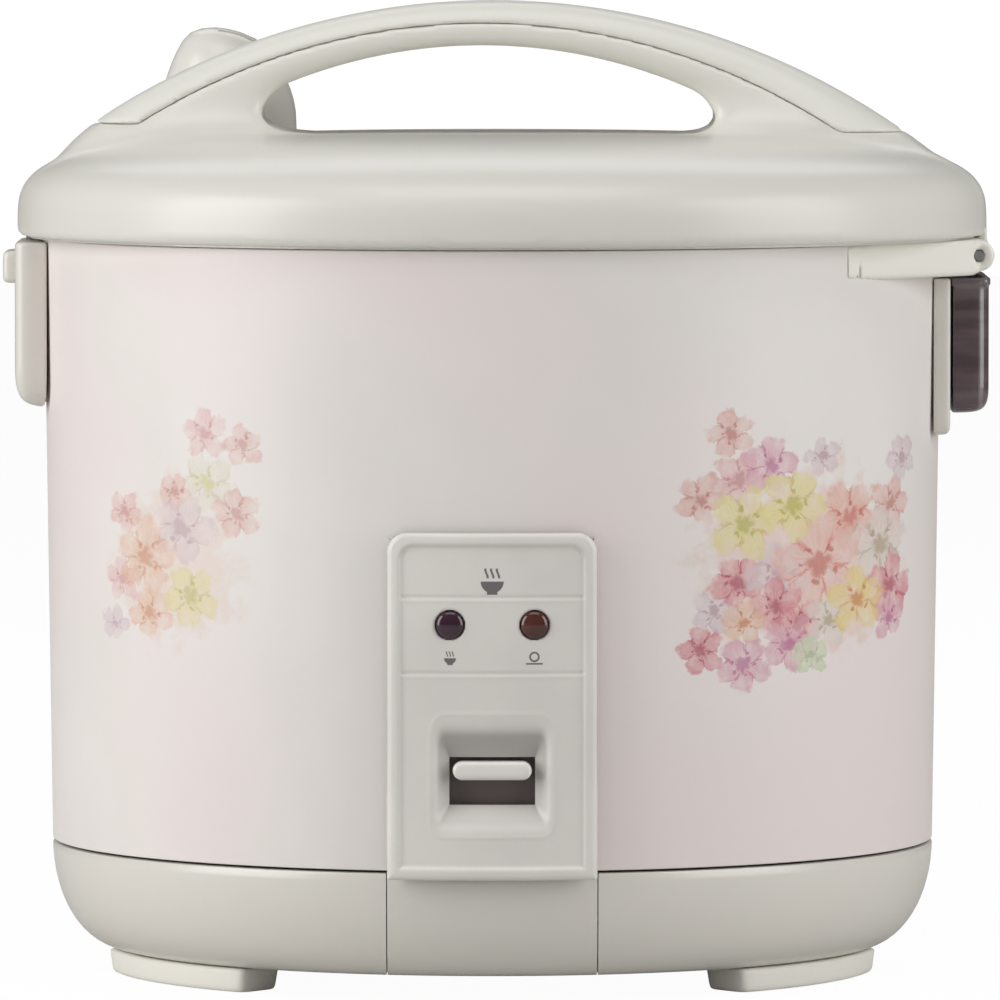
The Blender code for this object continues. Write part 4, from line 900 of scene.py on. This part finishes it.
class RICE_OT_panel(bpy.types.Operator):
    """Build the control panel with its border, lines, lamp seats and lever recess"""

    bl_idname = "rice.panel"
    bl_label = "Control panel"

    def execute(self, context):
        sizes = context.scene.rice_panel
        step = 0.42
        middle, half = (PANEL_LOW + PANEL_TOP) / 2, (PANEL_TOP - PANEL_LOW) / 2
        columns, rows = int(2 * PANEL_X / step) + 1, int(2 * half / step) + 1
        u, z = np.meshgrid(np.linspace(-PANEL_X, PANEL_X, columns), np.linspace(PANEL_LOW, PANEL_TOP, rows))
        u, z = u.copy(), z.copy()
        corner = 6.0
        cu, cz = np.abs(u) - PANEL_X + corner, z - PANEL_TOP + corner
        over = (cu > 0) & (cz > 0)
        far = np.maximum(np.hypot(cu, cz), 1e-6)
        scale = np.where(over, np.minimum(1.0, corner / far), 1.0)
        u = np.where(over, np.sign(u) * (PANEL_X - corner + cu * scale), u)
        z = np.where(over, PANEL_TOP - corner + cz * scale, z)
        shift = 30.0  # the outline runs on below, so the lower corners stay square
        edge = box_distance(u, z - middle + shift, PANEL_X, half + shift, corner)
        edge = np.maximum(edge, PANEL_LOW - z)
        face = box_distance(u, z - middle + shift, PANEL_X - 3.6, half + shift - 3.6, 4.2)
        face = np.maximum(face, PANEL_LOW + 3.6 - z)
        height = np.zeros_like(u)
        round_r = 1.7
        inside = np.clip(edge + round_r, 0.0, round_r)
        height -= round_r - np.sqrt(round_r ** 2 - inside ** 2)
        height -= sizes.sink / MM * (1 - eased(face, -0.9, 0.5))
        bead = np.exp(-((face - 0.9) / 0.8) ** 2) * 0.12
        height += bead
        on_face = 1 - eased(face, -0.8, -0.1)
        for level in (119.2, 97.2):
            height -= 0.30 * np.exp(-((z - level) / 0.42) ** 2) * on_face
            height += 0.12 * np.exp(-((z - level + 1.1) / 0.5) ** 2) * on_face
        for side in (-1, 1):
            ring = np.hypot(u - side * LAMP_X, z - LAMP_Z)
            height -= 0.4 * (1 - eased(ring, 4.0, 4.9)) * on_face
            height -= 2.2 * (1 - eased(ring, 4.0, 4.3))
        ku = (np.abs(u) - 12.5) / (17.7 - 12.5)
        kz = np.where(z > 64.8, (z - 72.9) / (84.2 - 72.9), (58.5 - z) / (58.5 - 50.4))
        power = 3.2
        slope = (np.maximum(ku, 0) ** power + np.maximum(kz, 0) ** power) ** (1 / power)
        inner = np.maximum(ku, kz)
        depth = sizes.recess / MM
        height -= depth * (1 - eased(slope, -0.35, 1.04)) * (slope < 1.04)
        height += 0.16 * np.exp(-((slope - 1.10) / 0.06) ** 2)
        border = edge > -0.02
        height = np.where(border, 135.2 - PANEL_R, height)
        radius = PANEL_R + height
        y = -np.sqrt(np.maximum(radius ** 2 - u ** 2, 1.0))
        build = bmesh.new()
        verts = [[build.verts.new(Vector((u[i, j], y[i, j], z[i, j])) * MM) for j in range(columns)]
                 for i in range(rows)]
        for i in range(rows - 1):
            for j in range(columns - 1):
                if inner[i:i + 2, j:j + 2].max() > 0.0:
                    corners = (verts[i][j], verts[i][j + 1], verts[i + 1][j + 1], verts[i + 1][j])
                    build.faces.new(corners)
        loose = [v for v in build.verts if not v.link_faces]
        bmesh.ops.delete(build, geom=loose, context="VERTS")
        bmesh.ops.remove_doubles(build, verts=build.verts, dist=2e-5)
        bmesh.ops.dissolve_degenerate(build, edges=build.edges, dist=1e-6)
        mesh = bpy.data.meshes.new("panel")
        build.to_mesh(mesh)
        build.free()
        mesh.materials.append(panel_print(tuple(sizes.colour)))
        piece = linked("panel", mesh)
        wall = piece.modifiers.new("wall", "SOLIDIFY")
        wall.thickness, wall.offset = 1.3 * MM, -1.0
        frozen(piece)
        smooth(piece.data, 48)
        placed(piece, "body", "panel_plastic", "control_panel")
        return {"FINISHED"}


class RICE_OT_controls(bpy.types.Operator):
    """Build the two lamp lenses and the cook lever"""

    bl_idname = "rice.controls"
    bl_label = "Lamps and lever"

    def execute(self, context):
        colours = {"cook": (0.045, 0.018, 0.030), "warm": (0.085, 0.026, 0.020)}
        for name, side in (("cook", -1), ("warm", 1)):
            lens = clear_plastic(f"lamp_{name}", colours[name], 1.0, 0.08, 5.0)
            build = bmesh.new()
            outline = [(0.0, 0.95), (1.2, 0.92), (2.3, 0.78), (3.2, 0.5), (3.75, 0.12), (3.95, -0.35)]
            outline += [(3.98, -4.2), (0.0, -4.2)]
            count = 48
            rings = []
            for k in range(count):
                turn = 2 * pi * k / count
                rings.append([build.verts.new(Vector((side * LAMP_X + r * cos(turn), -PANEL_R + 0.97 - h,
                                                      LAMP_Z + r * sin(turn))) * MM) for r, h in outline])
            for k in range(count):
                for i in range(len(outline) - 1):
                    a, b = rings[k], rings[(k + 1) % count]
                    build.faces.new((a[i], b[i], b[i + 1], a[i + 1]))
            bmesh.ops.remove_doubles(build, verts=build.verts, dist=1e-6)
            bmesh.ops.dissolve_degenerate(build, edges=build.edges, dist=1e-7)
            bmesh.ops.recalc_face_normals(build, faces=build.faces)
            mesh = bpy.data.meshes.new(f"lens_{name}")
            build.to_mesh(mesh)
            build.free()
            mesh.materials.append(lens)
            smooth(mesh, 50)
            placed(linked(f"lens_{name}", mesh), "body", f"lamp_{name}_lens", f"lamp_lens_{name}")
        low, high = size_of("cook_lever")
        middle = 68.9

        def lever(tree, x, y, z):
            across = abs(x)
            v = z - middle
            bar = length((across - 8.7).most(0.0), v) - 2.75
            bar = bar.most(low[1] - 0.0 - y, 2.6).most(y - low[1] - 6.4, 1.0)
            neck = (across - 6.0).most(abs(v) - 2.1).most(low[1] + 4.0 - y).most(y + 124.5)
            stem = (across - 5.0).most(-127.3 - y).most(y + 124.6).most(low[2] - z).most(v - 2.0)
            toe = (across - 5.0).most(-127.3 - y).most(y - high[1]).most(low[2] - z).most(z - low[2] - 2.0)
            return bar.least(neck, 0.6).least(stem, 0.6).least(toe, 0.6)

        colour = tuple(min(1.0, c * 1.06) for c in context.scene.rice_panel.colour)
        plastic = moulded("lever_plastic", colour, 0.24, 0.3, 0.03)
        corners = (-13, low[1] - 1, low[2] - 1), (13, high[1] + 1, high[2] + 1)
        piece = soft_solid("lever", lever, *corners, 0.42, plastic)
        placed(piece, "cook_lever", "lever_plastic", "cook_lever")
        return {"FINISHED"}


# ---------------------------------------------------------------- latch and dew collector

class RICE_OT_sides(bpy.types.Operator):
    """Build the latch tongue and its button on the left, the dew collector and its bracket on the right"""

    bl_idname = "rice.sides"
    bl_label = "Latch and dew collector"

    def execute(self, context):
        cream = bpy.data.materials["base_plastic"]
        low, high = size_of("latch_cover")

        def tongue(tree, x, y, z):
            out = low[0] - x
            across = abs(y) - high[1]
            solid = out.most(across, 7.0).most(low[2] - z, 14.0).most(z - high[2], 1.5)
            inner = BODY_TOP_R + 0.5 - length(x, y)
            mouth = abs(y) - 12.3
            mouth = mouth.most(abs(z - BUTTON_Z) - 5.15).most(x - low[0] - 3.0)
            return solid.most(inner).most(-mouth, 0.5)

        piece = soft_solid("latch_tongue", tongue, (low[0] - 1.5, low[1] - 1.5, low[2] - 1.5),
                           (high[0] + 1, high[1] + 1.5, high[2] + 1.5), 0.62, cream)
        placed(piece, "body", "base_plastic", "latch_cover")
        low_b, high_b = size_of("hook_button")

        def button(tree, x, y, z):
            tab = (low_b[0] - x).most(abs(y) - 12.0, 4.0).most(abs(z - BUTTON_Z) - 4.85, 3.0).most(x + 139.4)
            plate = (-139.9 - x).most(x - high_b[0]).most(abs(y) - 14.0)
            plate = plate.most(low_b[2] - z).most(z - high_b[2])
            return tab.least(plate, 0.4)

        corners = [v - 1 for v in low_b], [v + 1 for v in high_b]
        piece = soft_solid("latch_button", button, *corners, 0.4, cream)
        placed(piece, "hook_button", "base_plastic", "hook_button")
        low_c, high_c = size_of("dew_collector")

        def cup(tree, x, y, z):
            across = abs(y) - high_c[1]
            outer = (x - high_c[0]).most(across, 9.0).most(low_c[2] - z, 9.0).most(low_c[0] - x, 1.0)
            inner = (x - high_c[0] + 1.6).most(across + 1.6, 6.0).most(low_c[2] + 1.6 - z, 6.0)
            inner = inner.most(low_c[0] + 1.6 - x, 0.8)
            lip = (x - high_c[0]).most(across, 6.0).most(low_c[0] - x)
            lip = lip.most(z - high_c[2]).most(high_c[2] - 2.2 - z)
            shell = (outer + 0.35).least(lip, 0.8).most(-inner, 0.5)
            return shell.most(z - high_c[2], 0.6)

        low_d, high_d = size_of("dew_collector_bracket")

        def bracket(tree, x, y, z):
            plate = (x - 136.2).most(abs(y) - 31.0, 2.0).most(low_d[2] - z, 4.0).most(z - high_d[2], 0.6)
            return plate.most(BODY_TOP_R + 0.2 - length(x, y))

        corners = (128, -33, low_d[2] - 1), (138, 33, high_d[2] + 1)
        piece = soft_solid("dew_bracket", bracket, *corners, 0.6, cream)
        placed(piece, "body", "base_plastic", "dew_collector_bracket")
        # the smoked cup gets a painted highlight down its edge and along its top
        smoke = clear_plastic("smoked_plastic", (0.115, 0.082, 0.090), 0.95, 0.14, painted_highlight=True)
        piece = soft_solid("dew_cup", cup, [v - 1 for v in low_c], [v + 1 for v in high_c], 0.5, smoke)
        placed(piece, "dew_collector", "smoked_plastic", "dew_collector")
        return {"FINISHED"}


# ---------------------------------------------------------------- inside

class RICE_OT_inside(bpy.types.Operator):
    """Build the pot and what shows under the open lid"""

    bl_idname = "rice.inside"
    bl_label = "Pot and inner lid"

    def execute(self, context):
        low, high = size_of("inner_pot")
        top, lip = high[2], high[0]
        inner_r, wall, corner = 105.0, 1.6, 28.0
        floor = low[2] + wall
        curve = [(inner_r - corner + corner * cos(a), floor + corner - corner * sin(a))
                 for a in [pi / 2 * k / 12 for k in range(13)]]
        outside = [(inner_r - corner + (corner + wall) * cos(a), floor + corner - (corner + wall) * sin(a))
                   for a in [pi / 2 * k / 12 for k in range(13)]]
        roll = [(lip - 1.2, top), (lip - 0.3, top - 0.25), (lip, top - 0.8), (lip - 0.3, top - 1.35),
                (lip - 1.2, top - wall)]
        profile = [(inner_r, top - 1.6), (inner_r + 0.5, top - 0.45), (inner_r + 1.7, top)] + roll
        profile += [(inner_r + wall + 0.4, top - wall), (inner_r + wall, top - wall - 0.6)]
        profile += outside + [(0.0, floor - wall), (0.0, floor)] + curve[::-1]
        coating = metal("pot_coating", (0.16, 0.16, 0.17), 0.42, "plated", 0.55)
        piece = turned("pot", profile, coating, 160)
        placed(piece, "body", "pot_coating", "inner_pot")

        low, high = size_of("inner_lid")
        z0, z1, edge = low[2], high[2], high[0]
        levels = [(6.0, 0), (12.5, 0), (14.0, -0.9), (17.0, -0.9), (18.5, 0), (40.0, 0), (42.0, 0.5), (60.0, 0.5),
                  (62.0, 0), (84.0, 0), (86.5, -0.8), (90.0, -0.8), (92.5, 0), (edge, 0)]
        under = [(r, z0 + d * 0.4) for r, d in levels]
        over = [(r, z1 + d * 0.4) for r, d in levels]
        bright = metal("spun_aluminium", (0.70, 0.70, 0.71), 0.30, "spun")
        piece = turned("inner_lid_plate", under + over[::-1], bright, 128, angle=60)
        placed(piece, "lid", "aluminium", "inner_lid")
        low, high = size_of("lid_gasket")
        inner, outer, z0, z1 = edge + 0.4, high[0], low[2], high[2]
        ring = [(inner, z0 + 0.5), (inner + 0.6, z0), (outer - 1.4, z0), (outer, z0 + 0.9), (outer, z1 - 0.6),
                (outer - 0.6, z1), (inner + 0.5, z1), (inner, z1 - 0.5)]
        silicone = moulded("silicone", (0.66, 0.66, 0.63), 0.55, 0.0, 0.05)
        piece = turned("gasket_ring", ring, silicone, 128)
        placed(piece, "lid", "silicone", "lid_gasket")
        return {"FINISHED"}


class RICE_OT_finishes(bpy.types.Operator):
    """Give every piece that keeps its CAD shape its finish"""

    bl_idname = "rice.finishes"
    bl_label = "Finishes of the other pieces"

    def execute(self, context):
        cream = bpy.data.materials["base_plastic"]
        dark = moulded("dark_plastic", (0.055, 0.045, 0.043), 0.42, 0.1, 0.1)
        shutter = moulded("shutter_plastic", (0.17, 0.135, 0.13), 0.5, 0.05, 0.1)
        steel = metal("plated_steel", (0.62, 0.62, 0.63), 0.30, "plated")
        pressed = metal("pressed_aluminium", (0.70, 0.70, 0.71), 0.36, "brushed")
        board = moulded("board", (0.35, 0.20, 0.09), 0.6, 0.0, 0.1, 0.12)
        band = moulded("woven_band", (0.55, 0.50, 0.42), 0.8, 0.0, 0.5, 0.1)
        neon = clear_plastic("neon_glass", (0.55, 0.28, 0.18), 0.7)
        duct = bpy.data.materials["lid_plastic"]
        for name, joint, axis, travel in (("latch_spring", "hook_button_press", 0, 2.0),
                                          ("sensor_spring", "sensor_press", 2, 4.0)):
            build = bmesh.new()
            build.from_mesh(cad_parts[name].data)
            bmesh.ops.remove_doubles(build, verts=build.verts, dist=1e-6)
            mesh = bpy.data.meshes.new(f"{name}_coil")
            build.to_mesh(mesh)
            build.free()
            mesh.materials.clear()
            mesh.materials.append(steel)
            smooth(mesh, 60)
            coil = placed(linked(f"{name}_coil", mesh), "body", "steel", name)
            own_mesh(coil)
        groups = {
            "power_inlet inner_lid_knob microswitch trip_magnet": dark, "lever_shutter": shutter,
            "hinge_pin lid_spring latch_hook lid_catch base_screw_1 base_screw_2 base_screw_3 lid_screw_1 "
            "lid_screw_2 bottom_plate casing_leg_1 casing_leg_2 casing_leg_3 rocker_pin rocker_bracket rocker_arm "
            "inlet_pin_left inlet_pin_right": steel,
            "heating_plate inner_casing sensor_cap heater_post_1 heater_post_2 heater_post_3": pressed,
            "lamp_board": board, "keep_warm_band thermal_fuse": band, "lamp_cook lamp_warm": neon,
            "steam_duct lid_liner": duct, "dew_collector_bracket": cream,
        }
        for names, material in groups.items():
            for name in names.split():
                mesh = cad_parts[name].data
                mesh.materials.clear()
                mesh.materials.append(material)
        return {"FINISHED"}


# ---------------------------------------------------------------- stage

def area_light(name, spot, aim, size, power, colour=(1.0, 1.0, 1.0)):
    data = bpy.data.lights.new(name, "AREA")
    data.shape, data.size, data.size_y = "RECTANGLE", size[0], size[1]
    data.energy, data.color = power, colour
    lamp = bpy.data.objects.new(name, data)
    bpy.context.scene.collection.objects.link(lamp)
    lamp.location = spot
    lamp.rotation_euler = (Vector(aim) - Vector(spot)).to_track_quat("-Z", "Y").to_euler()


class RICE_OT_stage(bpy.types.Operator):
    """Make the floor, the studio lights and the camera"""

    bl_idname = "rice.stage"
    bl_label = "Stage"

    def execute(self, context):
        scene = context.scene
        build = bmesh.new()
        bmesh.ops.create_grid(build, x_segments=4, y_segments=4, size=6.0)
        mesh = bpy.data.meshes.new("floor")
        build.to_mesh(mesh)
        build.free()
        made, tree, spot = new_material("floor_paper")
        fine = tree.noise(spot, 0.5, 2.0, 0.5)
        tint = tree.mix(fine, (0.60, 0.60, 0.585), (0.62, 0.62, 0.605))
        paper = tree.make("ShaderNodeBsdfPrincipled", None, {"Base Color": tint, "Roughness": 0.9})
        lit = tree.make("ShaderNodeEmission", None, {0: (1.0, 1.0, 1.0, 1.0), 1: 1.03})
        first = tree.make("ShaderNodeMixShader", None, {0: 0.06, 1: lit, 2: paper})
        seen = tree.make("ShaderNodeLightPath", None, None, 0)
        both = tree.make("ShaderNodeMixShader", None, {0: seen, 1: paper, 2: first})
        tree.make("ShaderNodeOutputMaterial", None, {0: both}, None)
        mesh.materials.append(made)
        floor = linked("floor", mesh)
        floor.location.z = -0.0004
        world = bpy.data.worlds.new("studio")
        scene.world = world
        world.use_nodes = True
        world.node_tree.nodes.clear()
        sky = Tree(world.node_tree)
        seen = sky.make("ShaderNodeLightPath", None, None, 0)
        dim = sky.make("ShaderNodeBackground", None, {0: (1.0, 0.99, 0.98, 1.0), 1: 0.06})
        bright = sky.make("ShaderNodeBackground", None, {0: (1.0, 1.0, 1.0, 1.0), 1: 1.05})
        both = sky.make("ShaderNodeMixShader", None, {0: seen, 1: dim, 2: bright})
        sky.make("ShaderNodeOutputWorld", None, {0: both}, None)
        area_light("key_left", (-2.2, -0.9, 0.9), (0, 0, 0.15), (1.6, 2.2), 50.0)
        area_light("key_right", (2.2, -0.9, 0.9), (0, 0, 0.15), (1.6, 2.2), 38.0)
        area_light("top", (0.0, -0.9, 2.4), (0, 0, 0.15), (2.0, 1.4), 16.0)
        area_light("back", (0.0, 1.6, 1.6), (0, 0, 0.2), (1.6, 1.0), 6.5)
        data = bpy.data.cameras.new("camera")
        camera = bpy.data.objects.new("camera", data)
        scene.collection.objects.link(camera)
        scene.camera = camera
        distance, eye = 3.6, 0.332
        aim = Vector((0.00225, 0.0, 0.1401))
        camera.location = (aim.x, -distance, eye)
        camera.rotation_euler = (aim - camera.location).to_track_quat("-Z", "Y").to_euler()
        data.sensor_width = 36.0
        data.lens = 36.0 * (aim - camera.location).length / 0.300
        data.clip_start, data.clip_end = 0.1, 50.0
        scene.view_settings.view_transform = "Standard"
        return {"FINISHED"}


class RICE_PT_panel(bpy.types.Panel):
    """Lists the steps that build the rice cooker's looks"""

    bl_label = "Rice cooker"
    bl_idname = "RICE_PT_panel"
    bl_space_type = "VIEW_3D"
    bl_region_type = "UI"
    bl_category = "Rice cooker"

    def draw(self, context):
        scene = context.scene
        for group in (scene.rice_lid, scene.rice_body, scene.rice_panel):
            for name in group.__annotations__:
                self.layout.prop(group, name)
        for step in STEPS:
            self.layout.operator(step.bl_idname)


STEPS = (RICE_OT_stage, RICE_OT_lid, RICE_OT_steam_cap, RICE_OT_body, RICE_OT_base, RICE_OT_panel,
         RICE_OT_controls, RICE_OT_sides, RICE_OT_inside, RICE_OT_finishes)
GROUPS = {"rice_lid": LidSizes, "rice_body": BodySizes, "rice_panel": PanelSizes}


def register():
    for item in (*GROUPS.values(), *STEPS, RICE_PT_panel):
        bpy.utils.register_class(item)
    for name, group in GROUPS.items():
        setattr(bpy.types.Scene, name, bpy.props.PointerProperty(type=group))


def unregister():
    for name in GROUPS:
        delattr(bpy.types.Scene, name)
    for item in (RICE_PT_panel, *STEPS[::-1], *GROUPS.values()):
        bpy.utils.unregister_class(item)


def main():
    register()
    for step in STEPS:
        group, name = step.bl_idname.split(".")
        getattr(getattr(bpy.ops, group), name)()


if __name__ == "__main__":
    main()
